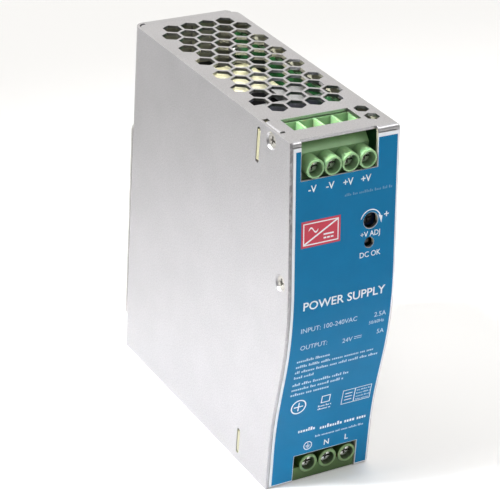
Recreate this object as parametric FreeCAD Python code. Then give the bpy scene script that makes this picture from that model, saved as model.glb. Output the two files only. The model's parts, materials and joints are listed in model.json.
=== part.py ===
import FreeCAD
import Part
import math
import os

# DIN rail power supply in a bent sheet-metal case, as separate pieces, in millimetres.
# +Z is up, +X is to the right as seen from the front, the front faces -Y and the rail hooks
# are at the back (+Y).  The origin lies under the middle of the overall box, on the plane of
# the bottom panel.

V = FreeCAD.Vector

# ---- driving dimensions -----------------------------------------------------------------

WIDTH = 40.0
HEIGHT = 125.2
DEPTH = 113.5            # crest of the front panel to the back of the rail hooks
BULGE = 6.0              # how far the front panel's crest stands before its top edge
FOOT_SET = 0.9           # how far its foot stands before its top edge
HOOK_REACH = 3.0         # rail bracket and hooks behind the rear wall
SHEET = 1.0
FIT = 0.1                # gap between folded sheets that meet

LEAN = math.radians(6.3)          # upper front panel, leaning out downwards
RETURN = math.radians(9.3)        # lower front panel, drawing back downwards
CURVE = 120.0                     # radius of the crest and of the hollow below it

LABEL_T = 0.2                     # printed film on the front panel

LEFT = -WIDTH / 2
RIGHT = WIDTH / 2
CREST = -DEPTH / 2 + LABEL_T
TOP_FRONT = CREST + BULGE
REAR = DEPTH / 2 - HOOK_REACH
CHASSIS_REAR = REAR - SHEET - FIT
PANEL_LEFT = LEFT + SHEET + FIT / 2      # left edge of the top, bottom and front panels
PANEL_MID = (PANEL_LEFT + RIGHT) / 2
FLANGE_X = LEFT + SHEET + FIT            # outer face of the flanges inside the left wall

EDGE_BEND = 1.3                   # outer bend radius along the top and bottom edges
FOOT_BEND = 0.5                   # outer bend radius under the front panel's foot
SIDE_BEND = 0.5                   # outer bend radius at the right edge of the front
REAR_BEND = 3.0                   # outer bend radius of the chassis at the rear
COVER_BEND = 3.5                  # outer bend radius of the side cover at the rear
LIP = 1.6                         # depth of the top panel's lip over the front panel
LIP_GAP = 0.35
RETURN_FLANGE = (2.0, 17.0)       # X span of the chassis flange inside the rear wall
CORNER_CUT = 2.2                  # clipped rear left corners of the top and bottom panels
LABEL_X = (PANEL_LEFT + 0.15, RIGHT - 0.55)
LABEL_Z = (0.1 + FOOT_BEND, HEIGHT - LIP - LIP_GAP - 0.1)
LABEL_EDGE = 0.15                 # film held back from the openings it surrounds

VENT_PITCH = 6.8
VENT_RADIUS = 3.38                 # centre to corner
VENT_ROWS = 13
VENT_FIRST_Y = -25.8
VENT_ROW_STEP = VENT_PITCH * math.sqrt(3) / 2
SMALL_VENT_RADIUS = 2.55
SMALL_VENTS = [(14.5, -36.45), (14.5, -42.65)]

# terminal blocks: X of the middle pole, Z of the screw axis, and the sense of the wire
# entry along Z
OUT_POLES = 4
OUT_PITCH = 6.35
OUT_X = -1.7
OUT_Z = HEIGHT - 9.3
IN_POLES = 3
IN_PITCH = 7.5
IN_X = 3.5
IN_Z = 6.1

OUT_NOTCH_X = (-15.9, 11.7)
OUT_NOTCH_Z = HEIGHT - 12.7
IN_NOTCH_X = (-9.8, 14.4)
IN_NOTCH_Z = 10.2
WINDOW_Y = (-42.75, -34.3)
OUT_WINDOW_X = (-13.9, 10.6)
IN_WINDOW_X = (-8.4, 14.6)

POT_X = 9.8
POT_Z = HEIGHT - 30.2
POT_HOLE = 2.6
LED_X = 9.4
LED_Z = HEIGHT - 37.5
LED_HOLE = 1.7

# countersunk screws of the side cover: (Y, Z)
CASE_SCREWS = [(-39.8, HEIGHT - 3.7), (-50.9, HEIGHT - 47.65)]
DIMPLE = 2.9                      # radius of the pressed dimple at the surface
HEAD_FLARE = 2.35                 # countersunk head radius
SCREW_REACH = 4.0                 # overall length of a side screw
SCREW_R = 1.45                    # M3 shank
THREAD_R = 1.5                    # M3 tapped hole
RIVET_R = 1.6
SIDE_FLANGE_Y = (-45.4, -33.7)    # flange that takes the upper side screw
SIDE_FOLD_Y = (-42.0, -33.7)      # its fold line between two relief cuts
RELIEF_Y = (-43.2, -31.9)
FRONT_FLANGE_Y = (-54.8, -46.0)   # flange that takes the lower side screw

# boards standing behind the terminal blocks, with an edge tab in the cover's slots
END_BOARD_Y = (-33.0, -31.4)
SLOT_WIDTH = 1.9
SLOT_Y = sum(END_BOARD_Y) / 2
OUT_SLOT_Z = (HEIGHT - 14.3, HEIGHT - 2.2)
IN_SLOT_Z = (3.0, 12.6)

BOARD_X = (15.4, 17.0)            # main board, parts on its left face
BOARD_Y = (-46.0, 48.0)
BOARD_Z = (4.0, 121.0)
BOARD_HOLES = [(-42.0, 30.0), (-42.0, 104.0), (44.0, 12.0), (44.0, 113.0)]
STANDOFF_R = 2.5

# 35 mm rail and its bracket
RAIL_MID = HEIGHT / 2
RAIL_HALF = 17.5
RAIL_SHEET = 1.0
BRACKET_T = 1.0
BRACKET_Y = (REAR, REAR + BRACKET_T)
BRACKET_Z = (10.0, 88.2)
BRACKET_HALF = 18.9
HOOK_LIP = 0.9
HOOK_HALF = 4.0
HOOK_X = (-10.0, 10.0)
RIVETS = [(-13.5, 84.7), (13.5, 84.7), (-13.6, 40.0), (13.6, 40.0)]
LATCH_HALF = 10.0
LATCH_TRAVEL = 5.0
LATCH_Y = (REAR + BRACKET_T + FIT, REAR + BRACKET_T + FIT + 1.1)
GUIDE_Z = [(14.0, 19.0), (29.0, 34.0)]
SPRING_Z = (16.0, 34.0)
SPRING_R = 1.1
SPRING_WIRE = 0.2
SPRING_TURNS = 9

# ---- helpers ----------------------------------------------------------------------------


def block(x, y, z):
    """Box from a (low, high) pair on each axis."""
    return Part.makeBox(x[1] - x[0], y[1] - y[0], z[1] - z[0], V(x[0], y[0], z[0]))


def start_point(axis, at, low):
    """Point at `low` along an axis; `at` holds the two other coordinates in X, Y, Z order."""
    if axis == "x":
        return V(low, at[0], at[1]), V(1, 0, 0)
    if axis == "y":
        return V(at[0], low, at[1]), V(0, 1, 0)
    return V(at[0], at[1], low), V(0, 0, 1)


def rod(axis, radius, at, span):
    """Cylinder along an axis."""
    base, along = start_point(axis, at, span[0])
    return Part.makeCylinder(radius, span[1] - span[0], base, along)


def taper(axis, radii, at, span):
    """Cone frustum along an axis, from radii[0] at span[0] to radii[1] at span[1]."""
    base, along = start_point(axis, at, span[0])
    return Part.makeCone(radii[0], radii[1], span[1] - span[0], base, along)


def ring(axis, outer, inner, at, span):
    return rod(axis, outer, at, span).cut(rod(axis, inner, at, span))


def join(shapes):
    return shapes[0].fuse(shapes[1:]).removeSplitter()


def prism(points, along):
    """Solid swept from a closed polygon of vectors."""
    return Part.Face(Part.makePolygon(points + points[:1])).extrude(along)


def slab_x(outline, x):
    """Solid with a (Y, Z) outline between two X planes."""
    return prism([V(x[0], y, z) for y, z in outline], V(x[1] - x[0], 0, 0))


def slab_y(outline, y):
    """Solid with an (X, Z) outline between two Y planes."""
    return prism([V(x, y[0], z) for x, z in outline], V(0, y[1] - y[0], 0))


def slab_z(outline, z):
    """Solid with an (X, Y) outline between two Z planes."""
    return prism([V(x, y, z[0]) for x, y in outline], V(0, 0, z[1] - z[0]))


def rounded(shape, radius, keep):
    """Fillet the edges whose centre of mass passes the test."""
    return shape.makeFillet(radius, [e for e in shape.Edges if keep(e)])


def along_axis(edge, axis):
    """True for an edge parallel to the axis given by its index."""
    box = edge.BoundBox
    lengths = [box.XLength, box.YLength, box.ZLength]
    return all(size < 1e-6 for i, size in enumerate(lengths) if i != axis)


def near(a, b):
    return abs(a - b) < 0.02


def funnel(mouth, throat, z):
    """Four-sided loft: mouth and throat are ((x0, x1), (y0, y1)) at z[0] and z[1]."""
    wires = []
    for (x, y), height in zip((mouth, throat), z):
        corners = [V(x[0], y[0], height), V(x[1], y[0], height)]
        corners += [V(x[1], y[1], height), V(x[0], y[1], height)]
        wires.append(Part.makePolygon(corners + corners[:1]))
    return Part.makeLoft(wires, True, True)


def cross_recess(axis, at, span, arm=1.5, width=0.75):
    """Phillips recess cutter: two crossed bars that narrow with depth."""
    base, along = start_point(axis, at, span[0])
    depth = span[1] - span[0]
    core = Part.makeCone(arm, arm * 0.35, depth, base, along)
    if axis == "x":
        bars = [block(span, (at[0] - arm, at[0] + arm), (at[1] - width / 2, at[1] + width / 2)),
                block(span, (at[0] - width / 2, at[0] + width / 2), (at[1] - arm, at[1] + arm))]
    else:
        bars = [block((at[0] - arm, at[0] + arm), span, (at[1] - width / 2, at[1] + width / 2)),
                block((at[0] - width / 2, at[0] + width / 2), span, (at[1] - arm, at[1] + arm))]
    return core.common(bars[0].fuse(bars[1]))


# ---- case -------------------------------------------------------------------------------


def front_curve(inset):
    """Edges of the front panel's face from top to bottom in the plane X = 0.

    The panel leans out, turns over the crest, draws back and ends in an upright foot.
    `inset` moves the face inwards along its normal.
    """
    lean_in = (math.cos(LEAN), -math.sin(LEAN))
    back_in = (math.cos(RETURN), math.sin(RETURN))
    lean_length = (BULGE - CURVE * (1 - math.cos(LEAN))) / math.sin(LEAN)
    fall_back = BULGE - FOOT_SET - 2 * CURVE * (1 - math.cos(RETURN))
    slope_length = fall_back / math.sin(RETURN)

    bend_y = TOP_FRONT - lean_length * math.sin(LEAN)
    bend_z = HEIGHT - lean_length * math.cos(LEAN)
    crest_y = bend_y + CURVE * lean_in[0]
    crest_z = bend_z + CURVE * lean_in[1]
    slope_y = crest_y - CURVE * back_in[0]
    slope_z = crest_z - CURVE * back_in[1]
    hollow_y = slope_y + slope_length * math.sin(RETURN) - CURVE * back_in[0]
    hollow_z = slope_z - slope_length * math.cos(RETURN) - CURVE * back_in[1]

    inner = CURVE - inset
    outer = CURVE + inset
    top = V(0, TOP_FRONT + inset / math.cos(LEAN), HEIGHT)
    bend = V(0, crest_y - inner * lean_in[0], crest_z - inner * lean_in[1])
    crest = V(0, crest_y - inner, crest_z)
    slope = V(0, crest_y - inner * back_in[0], crest_z - inner * back_in[1])
    hollow = V(0, hollow_y + outer * back_in[0], hollow_z + outer * back_in[1])
    half = RETURN / 2
    middle = V(0, hollow_y + outer * math.cos(half), hollow_z + outer * math.sin(half))
    foot = V(0, hollow_y + outer, hollow_z)
    bottom = V(0, foot.y, 0)
    return [Part.LineSegment(top, bend).toShape(), Part.Arc(bend, crest, slope).toShape(),
            Part.LineSegment(slope, hollow).toShape(), Part.Arc(hollow, middle, foot).toShape(),
            Part.LineSegment(foot, bottom).toShape()]


def case_solid(inset, x, y_back):
    """Full-height solid behind the front curve, between two X planes."""
    edges = front_curve(inset)
    top = edges[0].Vertexes[0].Point
    bottom = edges[-1].Vertexes[-1].Point
    back = [V(0, y_back, 0), V(0, y_back, HEIGHT)]
    edges += [Part.LineSegment(bottom, back[0]).toShape(),
              Part.LineSegment(back[0], back[1]).toShape(),
              Part.LineSegment(back[1], top).toShape()]
    solid = Part.Face(Part.Wire(edges)).extrude(V(x[1] - x[0], 0, 0))
    return solid.translate(V(x[0], 0, 0))


def front_y(z):
    """Y of the front face at a height on its straight upper part."""
    return TOP_FRONT - (HEIGHT - z) * math.tan(LEAN)


def vent_cutters(z):
    """Staggered hexagons with corners along Y, in rows of four and five."""
    cutters = []
    for row in range(VENT_ROWS):
        count = 4 + row % 2
        y = VENT_FIRST_Y + row * VENT_ROW_STEP
        for i in range(count):
            x = PANEL_MID + (i - (count - 1) / 2) * VENT_PITCH
            cutters.append(hexagon(x, y, VENT_RADIUS, z))
    return cutters


def hexagon(x, y, radius, z):
    corners = [(x + radius * math.sin(k * math.pi / 3), y + radius * math.cos(k * math.pi / 3))
               for k in range(6)]
    return slab_z(corners, z)


def dimple_boss(x, at):
    """Cone pressed inwards around a screw, solid; x is the inner face of its sheet."""
    return taper("x", (DIMPLE, THREAD_R + 0.2), at, (x, x + DIMPLE - THREAD_R - 0.2))


def dimple_recess(x, at, hole):
    """What is cut for the same dimple; x is the outer face of its sheet."""
    cone = taper("x", (DIMPLE, THREAD_R + 0.2), at, (x, x + DIMPLE - THREAD_R - 0.2))
    return cone.fuse([rod("x", DIMPLE, at, (x - 0.5, x)), rod("x", hole, at, (x - 1, x + DIMPLE + 2))])


def chassis_shell():
    """Right wall, top, bottom and front panels and a rear flange, folded from one sheet."""
    outer = case_solid(0, (PANEL_LEFT, RIGHT), CHASSIS_REAR)
    outer = rounded(outer, REAR_BEND, lambda e: along_axis(e, 2)
                    and near(e.CenterOfMass.x, RIGHT) and near(e.CenterOfMass.y, CHASSIS_REAR))
    outer = outer.makeChamfer(CORNER_CUT, [e for e in outer.Edges if along_axis(e, 2)
                              and near(e.CenterOfMass.x, PANEL_LEFT) and e.CenterOfMass.y > 0])
    outer = rounded(outer, EDGE_BEND, lambda e: is_front_edge(e, HEIGHT) or is_right_edge(e))
    # this bend runs on from the foot up the right edge of the front panel
    outer = rounded(outer, FOOT_BEND, lambda e: is_front_edge(e, 0))
    inner = case_solid(SHEET, (PANEL_LEFT - 2, RIGHT - SHEET), CHASSIS_REAR - SHEET)
    inner = rounded(inner, REAR_BEND - SHEET, lambda e: along_axis(e, 2)
                    and near(e.CenterOfMass.x, RIGHT - SHEET) and e.CenterOfMass.y > 0)
    inside = (SHEET, HEIGHT - SHEET)
    inner = inner.common(block((-30, 30), (-70, 70), inside))
    shell = join([outer.cut(inner), rear_edge((HEIGHT - SHEET, HEIGHT)), rear_edge((0, SHEET))])

    screw_z = CASE_SCREWS[1][1]
    top_flange = screw_flange(CASE_SCREWS[0], SIDE_FLANGE_Y, (HEIGHT - 15, HEIGHT - 1))
    front_flange = screw_flange(CASE_SCREWS[1], FRONT_FLANGE_Y, (screw_z - 6, screw_z + 6))
    fold = block((FLANGE_X, FLANGE_X + 2 * SHEET), SIDE_FOLD_Y, (HEIGHT - 2, HEIGHT))
    fold = rounded(fold, EDGE_BEND, lambda e: along_axis(e, 1)
                   and e.CenterOfMass.z > HEIGHT - 0.1 and e.CenterOfMass.x < FLANGE_X + 0.1)
    relief = block((LEFT, FLANGE_X + 1.9 * SHEET), RELIEF_Y, (HEIGHT - 2, HEIGHT + 1))
    shell = join([shell.cut(relief), fold, top_flange, front_flange])
    shell = shell.cut([dimple_recess(FLANGE_X, at, THREAD_R) for at in CASE_SCREWS])

    lip_y = front_y(HEIGHT) + EDGE_BEND
    far = (-70.0, lip_y)
    through_top = (HEIGHT - SHEET - 0.5, HEIGHT + 1)
    through_bottom = (-1, SHEET + 0.5)
    cuts = [
        block((LEFT, RETURN_FLANGE[0]), (CHASSIS_REAR - 4, CHASSIS_REAR + 1), inside),
        block((LEFT, RIGHT - SIDE_BEND - SHEET), far, (HEIGHT - LIP - LIP_GAP, HEIGHT - LIP)),
        block(OUT_NOTCH_X, far, (OUT_NOTCH_Z, HEIGHT + 1)),
        block(IN_NOTCH_X, far, (-1, IN_NOTCH_Z)),
        block(OUT_WINDOW_X, WINDOW_Y, through_top),
        block(IN_WINDOW_X, WINDOW_Y, through_bottom),
        rod("y", POT_HOLE, (POT_X, POT_Z), (-60, -45)),
        rod("y", LED_HOLE, (LED_X, LED_Z), (-60, -45)),
    ]
    cuts += [hexagon(x, y, SMALL_VENT_RADIUS, through_top) for x, y in SMALL_VENTS]
    cuts += vent_cutters(through_top) + vent_cutters(through_bottom)
    cuts += [rod("y", RIVET_R, at, (CHASSIS_REAR - 2, CHASSIS_REAR + 1)) for at in RIVETS if at[0] > 0]
    return shell.cut(cuts)


def rear_edge(z):
    """Strip of the top or bottom panel that reaches back over the cover's rear wall."""
    left = LEFT + COVER_BEND + FIT
    right = RETURN_FLANGE[1]
    outline = [(left, CHASSIS_REAR - SHEET), (left, REAR), (right - SHEET, REAR),
               (right, CHASSIS_REAR), (right, CHASSIS_REAR - SHEET)]
    return slab_z(outline, z)


def is_front_edge(edge, z):
    at = edge.CenterOfMass
    return along_axis(edge, 0) and at.y < 0 and near(at.z, z)


def is_right_edge(edge):
    """Long edges at the right of the top and bottom panels, with the arcs at their rear."""
    at = edge.CenterOfMass
    return at.x > RIGHT - REAR_BEND and near(abs(at.z - HEIGHT / 2), HEIGHT / 2)


def screw_flange(at, y, z):
    """Inner flange with the boss that takes a side screw, before its recess is cut."""
    return block((FLANGE_X, FLANGE_X + SHEET), y, z).fuse(dimple_boss(FLANGE_X + SHEET, at))


def side_cover():
    """Left wall and rear wall, folded from one sheet."""
    outer = case_solid(0, (LEFT, RETURN_FLANGE[1]), REAR)
    outer = rounded(outer, COVER_BEND, lambda e: along_axis(e, 2)
                    and near(e.CenterOfMass.x, LEFT) and near(e.CenterOfMass.y, REAR))
    inner = block((LEFT + SHEET, RIGHT), (-80, REAR - SHEET), (-1, HEIGHT + 1))
    inner = rounded(inner, COVER_BEND - SHEET, lambda e: along_axis(e, 2)
                    and near(e.CenterOfMass.x, LEFT + SHEET) and e.CenterOfMass.y > 0)
    cover = outer.cut(inner)
    cover = join([cover] + [dimple_boss(LEFT + SHEET, at) for at in CASE_SCREWS])
    cuts = [dimple_recess(LEFT, at, THREAD_R + 0.3) for at in CASE_SCREWS]
    cuts += [slot_cutter(z) for z in (OUT_SLOT_Z, IN_SLOT_Z)]
    cuts += [rod("y", RIVET_R, at, (REAR - 2, REAR + 1)) for at in RIVETS]
    # the rear wall ends under the strips of the top and bottom panels
    wall_y = (REAR - COVER_BEND, REAR + 1)
    cuts += [block((LEFT + COVER_BEND, RIGHT), wall_y, z)
             for z in ((HEIGHT - SHEET - FIT, HEIGHT + 1), (-1, SHEET + FIT))]
    return cover.cut(cuts)


def slot_cutter(z):
    """Upright slot with round ends through the left wall."""
    half = SLOT_WIDTH / 2
    x = (LEFT - 1, LEFT + SHEET + 1)
    ends = [rod("x", half, (SLOT_Y, height), x) for height in (z[0] + half, z[1] - half)]
    return join([block(x, (SLOT_Y - half, SLOT_Y + half), (z[0] + half, z[1] - half))] + ends)


def front_label():
    """Printed film on the front panel."""
    film = case_solid(-LABEL_T, LABEL_X, 0).cut(case_solid(0, (LEFT, RIGHT), 0))
    film = film.common(block((LEFT, RIGHT), (-70, 0), LABEL_Z))
    edge = LABEL_EDGE
    cuts = [
        block((OUT_NOTCH_X[0] - edge, OUT_NOTCH_X[1] + edge), (-70, 0), (OUT_NOTCH_Z - edge, HEIGHT)),
        block((IN_NOTCH_X[0] - edge, IN_NOTCH_X[1] + edge), (-70, 0), (0, IN_NOTCH_Z + edge)),
        rod("y", POT_HOLE + edge, (POT_X, POT_Z), (-60, -45)),
        rod("y", LED_HOLE + edge, (LED_X, LED_Z), (-60, -45)),
    ]
    return film.cut(cuts)


def case_screws():
    """Countersunk cross-recess screws through the left wall, one solid each."""
    screws = []
    for at in CASE_SCREWS:
        face = LEFT + DIMPLE - HEAD_FLARE - 0.03
        head = taper("x", (HEAD_FLARE, SCREW_R), at, (face, face + HEAD_FLARE - SCREW_R))
        shank = rod("x", SCREW_R, at, (face + 0.3, face + SCREW_REACH))
        screws.append(join([head, shank]).cut(cross_recess("x", at, (face, face + 1.3))))
    return Part.Compound(screws)


# ---- rail bracket -----------------------------------------------------------------------


def rail_bracket():
    """Plate on the rear wall with two upper hooks, latch guides and a spring window."""
    plate = block((-BRACKET_HALF, BRACKET_HALF), BRACKET_Y, BRACKET_Z)
    plate = rounded(plate, 3.0, lambda e: along_axis(e, 1))
    back = REAR + HOOK_REACH
    rail_top = RAIL_MID + RAIL_HALF
    lip_front = back - HOOK_LIP
    parts = [plate]
    cuts = [block((-1.7, 1.7), BRACKET_Y, SPRING_Z)]
    for x in HOOK_X:
        width = (x - HOOK_HALF, x + HOOK_HALF)
        root_z = (rail_top + 0.3, rail_top + 1.3)
        parts.append(block(width, (BRACKET_Y[0], back), root_z))
        parts.append(block(width, (lip_front, back), (rail_top - 2.4, root_z[1])))
        cuts.append(block(width, BRACKET_Y, (root_z[0] - 5.0, root_z[0])))
    for z in GUIDE_Z:
        for side in (-1, 1):
            wall = sorted([side * (LATCH_HALF + FIT), side * (LATCH_HALF + FIT + 0.9)])
            cap = sorted([side * (LATCH_HALF - 1.5), side * (LATCH_HALF + FIT + 0.9)])
            parts.append(block(wall, (BRACKET_Y[0], back), z))
            parts.append(block(cap, (LATCH_Y[1] + FIT, back), z))
    cuts += [rod("y", RIVET_R, at, (REAR - 1, REAR + 2)) for at in RIVETS]
    return join(parts).cut(cuts)


def bracket_rivets():
    """Rivets that hold the bracket to the rear wall, one solid each."""
    rivets = []
    for x, z in RIVETS:
        inner_face = CHASSIS_REAR - SHEET if x > 0 else REAR - SHEET
        shank = rod("y", RIVET_R - 0.02, (x, z), (inner_face, REAR + BRACKET_T))
        tail = rod("y", 2.6, (x, z), (inner_face - 0.8, inner_face))
        head = taper("y", (2.8, 2.0), (x, z), (REAR + BRACKET_T, REAR + BRACKET_T + 0.8))
        rivets.append(join([tail, shank, head]))
    return Part.Compound(rivets)


def rail_latch():
    """Sliding latch under the rail: hook lip above, stop shoulders and pull tab below."""
    rail_foot = RAIL_MID - RAIL_HALF
    back = REAR + HOOK_REACH
    plate = block((-LATCH_HALF, LATCH_HALF), LATCH_Y, (7.0, rail_foot - 0.5))
    shoulders = block((-LATCH_HALF - 2.5, LATCH_HALF + 2.5), LATCH_Y, (7.0, GUIDE_Z[0][0]))
    shoulders = rounded(shoulders, 1.5, lambda e: along_axis(e, 1) and e.CenterOfMass.z < 8)
    step = block((-LATCH_HALF + 2, LATCH_HALF - 2), (LATCH_Y[0], back), (rail_foot - 1.7, rail_foot - 0.5))
    lip = block((-LATCH_HALF + 2, LATCH_HALF - 2), (back - HOOK_LIP, back),
                (rail_foot - 1.7, rail_foot + 2.4))
    tab = block((-6.0, 6.0), (LATCH_Y[0], back), (6.2, 7.4))
    latch = join([plate, shoulders, step, lip, tab])
    window = block((-1.7, 1.7), LATCH_Y, SPRING_Z)
    pull = block((-3.5, 3.5), LATCH_Y, (8.9, 11.5))
    return latch.cut([window, pull])


def latch_spring():
    """Compression spring lying in the windows of the bracket and the latch."""
    length = SPRING_Z[1] - SPRING_Z[0] - 2 * SPRING_WIRE - 0.1
    pitch = length / SPRING_TURNS
    helix = Part.makeLongHelix(pitch, length, SPRING_R, 0, False)
    start = Part.Circle(V(SPRING_R, 0, 0), V(0, 1, pitch / (2 * math.pi * SPRING_R)), SPRING_WIRE)
    section = Part.Wire(start.toShape())
    coil = Part.Wire(helix).makePipeShell([section], True, True)
    return coil.translate(V(0, (BRACKET_Y[0] + REAR + HOOK_REACH) / 2, SPRING_Z[0] + SPRING_WIRE + 0.05))


# ---- terminal blocks --------------------------------------------------------------------

OUT_RIM_R = 3.15                  # barrel round each screw, outside
IN_RIM_R = 3.4
BORE_R = 2.5
WEB_Y = (-47.9, -46.4)            # collar that keeps the screw in
HEAD_Y = (-49.95, -47.95)
HEAD_R = 2.35
TIP_Y = -41.45
CAGE_Y = (-43.2, -35.2)
CAGE_HALF = 2.75
CAGE_WALL = 0.45
CAGE_FRONT = 1.6
CAGE_BACK = 0.8
CAGE_RISE = 3.3                   # half height of the cage about the screw axis
BAR_Y = (-41.3, -40.5)
CLAMP_TRAVEL = 3.0
BLOCK_BACK = -33.5
MOUTH_HALF = 2.72                 # half width of the wire funnel at the block's face
BLOCK_TOP = HEIGHT - 1.3
IN_FACE_Y = TOP_FRONT - FOOT_SET + 0.35   # front of the input block's sill


def pole_positions(middle, pitch, count):
    return [middle + (i - (count - 1) / 2) * pitch for i in range(count)]


def z_span(axis_z, sense, near_side, far_side):
    """Z span from one distance to another along the wire entry's sense."""
    return sorted([axis_z + sense * near_side, axis_z + sense * far_side])


def pole_cuts(x, axis_z, sense, face):
    """What one pole takes out of its block: bore, cage room, bar slot and wire funnel."""
    room = z_span(axis_z, sense, -CAGE_RISE - 0.1, CAGE_RISE + 0.1)
    bar_room = z_span(axis_z, sense, -CAGE_RISE - 2.1, -CAGE_RISE - 0.1)
    mouth = ((x - MOUTH_HALF, x + MOUTH_HALF), (-42.2, -34.9))
    throat = ((x - 2.3, x + 2.3), (-40.5, -35.95))
    throat_z = axis_z + sense * (CAGE_RISE + 0.1)
    return [
        rod("y", BORE_R, (x, axis_z), (-60, WEB_Y[0])),
        rod("y", SCREW_R + 0.15, (x, axis_z), (-60, WEB_Y[1] + 1)),
        block((x - CAGE_HALF - 0.05, x + CAGE_HALF + 0.05), (WEB_Y[1], CAGE_Y[1] + 0.1), room),
        block((x - 2.25, x + 2.25), (BAR_Y[0] - 0.05, BLOCK_BACK + 1), bar_room),
        funnel(mouth, throat, (axis_z + sense * face, throat_z)),
    ]


def barrel(x, axis_z, radius, front, root):
    """Ring round a screw's bore, still solid, with a softened front edge."""
    post = rod("y", radius, (x, axis_z), (front, root))
    return rounded(post, 0.35, lambda e: near(e.CenterOfMass.y, front))


def output_terminal():
    """Four-pole block: upright wire funnels, sloping brow and barrels for the screws."""
    poles = pole_positions(OUT_X, OUT_PITCH, OUT_POLES)
    half = OUT_POLES * OUT_PITCH / 2
    front = -47.2
    floor = OUT_Z - 7.9
    profile = [(front, floor), (front, OUT_Z + OUT_RIM_R + 0.2), (-43.2, BLOCK_TOP),
               (BLOCK_BACK, BLOCK_TOP), (BLOCK_BACK, floor)]
    body = slab_x(profile, (OUT_X - half, OUT_X + half))
    rims = [barrel(x, OUT_Z, OUT_RIM_R, front_y(OUT_Z) - 1.0, front + 1) for x in poles]
    cuts = []
    for x in poles:
        cuts += pole_cuts(x, OUT_Z, 1, BLOCK_TOP - OUT_Z + 0.01)
    return join([body] + rims).cut(cuts)


def input_terminal():
    """Three-pole block with the wires entering from below and a sill in the panel's notch."""
    poles = pole_positions(IN_X, IN_PITCH, IN_POLES)
    front = -48.2
    floor = 1.9
    body = block((IN_X - 12.1, IN_X + 11.6), (front, BLOCK_BACK), (floor, 14.6))
    window = (IN_NOTCH_X[0] + 0.2, IN_NOTCH_X[1] - 0.2)
    sill = block(window, (IN_FACE_Y, front + 1), (floor, IN_Z - 0.9))
    toe = block(window, (IN_FACE_Y, front_y(HEIGHT) + EDGE_BEND - 0.15), (0.3, floor + 1))
    rims = [barrel(x, IN_Z, IN_RIM_R, IN_FACE_Y - 0.5, front + 1) for x in poles]
    cuts = []
    for x in poles:
        cuts += pole_cuts(x, IN_Z, -1, IN_Z - floor + 0.01)
    return join([body, sill, toe] + rims).cut(cuts)


def terminal_screw(x, axis_z):
    """Captive clamp screw with a slotted cross recess."""
    head = rod("y", HEAD_R, (x, axis_z), HEAD_Y)
    head = rounded(head, 0.35, lambda e: near(e.CenterOfMass.y, HEAD_Y[0]) and e.Length > 5)
    shank = rod("y", SCREW_R, (x, axis_z), (HEAD_Y[1] - 0.5, TIP_Y))
    slot = block((x - 3, x + 3), (HEAD_Y[0] - 1, HEAD_Y[0] + 0.7), (axis_z - 0.35, axis_z + 0.35))
    recess = cross_recess("y", (x, axis_z), (HEAD_Y[0], HEAD_Y[0] + 1.4))
    return join([head, shank]).cut([slot, recess])


def terminal_clamp(x, axis_z):
    """Rising cage: threaded front wall, side walls and the bar that presses the wire."""
    z = (axis_z - CAGE_RISE, axis_z + CAGE_RISE)
    cage = block((x - CAGE_HALF, x + CAGE_HALF), CAGE_Y, z)
    inner_x = (x - CAGE_HALF + CAGE_WALL, x + CAGE_HALF - CAGE_WALL)
    room = block(inner_x, (CAGE_Y[0] + CAGE_FRONT, CAGE_Y[1] - CAGE_BACK), (z[0] - 1, z[1] + 1))
    return cage.cut([room, rod("y", THREAD_R, (x, axis_z), (-50, CAGE_Y[0] + CAGE_FRONT + 0.5))])


def contacts(poles, axis_z, sense):
    """Fixed contact bars with their board pins, one solid for each pole."""
    solids = []
    for x in poles:
        bar = block((x - 2.2, x + 2.2), BAR_Y, z_span(axis_z, sense, -CAGE_RISE - 1.9, CAGE_RISE - 0.3))
        foot = block((x - 2.2, x + 2.2), (BAR_Y[0], BLOCK_BACK),
                     z_span(axis_z, sense, -CAGE_RISE - 1.9, -CAGE_RISE - 1.0))
        pin_z = axis_z - sense * (CAGE_RISE + 1.45)
        pin = block((x - 0.5, x + 0.5), (BLOCK_BACK - 0.5, END_BOARD_Y[1] + 1.2),
                    (pin_z - 0.45, pin_z + 0.45))
        solids.append(join([bar, foot, pin]))
    return Part.Compound(solids)


def end_board(poles, axis_z, sense, z, tab_z):
    """Board behind a terminal block, with pin holes and the tab that enters the cover."""
    plate = block((PANEL_LEFT + 1.4, BOARD_X[0] - 0.1), END_BOARD_Y, z)
    tab = block((LEFT + 0.12, PANEL_LEFT + 2), END_BOARD_Y, (tab_z[0] + 0.9, tab_z[1] - 0.9))
    pin_z = axis_z - sense * (CAGE_RISE + 1.45)
    holes = [block((x - 0.55, x + 0.55), (-40, -25), (pin_z - 0.5, pin_z + 0.5)) for x in poles]
    return join([plate, tab]).cut(holes)


# ---- controls behind the front panel ----------------------------------------------------

POT_FACE = front_y(POT_Z) + 3.2
LED_TIP = front_y(LED_Z) + 1.0
ROTOR_R = 2.1


def trimmer_body():
    """Square body of the voltage trimmer, with its pins to the main board."""
    body = block((POT_X - 3.5, POT_X + 3.5), (POT_FACE, POT_FACE + 5.0), (POT_Z - 3.5, POT_Z + 3.5))
    body = rounded(body, 0.4, lambda e: along_axis(e, 1))
    pins = [rod("x", 0.3, (POT_FACE + 2.5, POT_Z + dz), (POT_X + 3, BOARD_X[1])) for dz in (-2.5, 0, 2.5)]
    bore = rod("y", 1.05, (POT_X, POT_Z), (POT_FACE - 1, POT_FACE + 2.6))
    return join([body] + pins).cut(bore)


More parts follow.
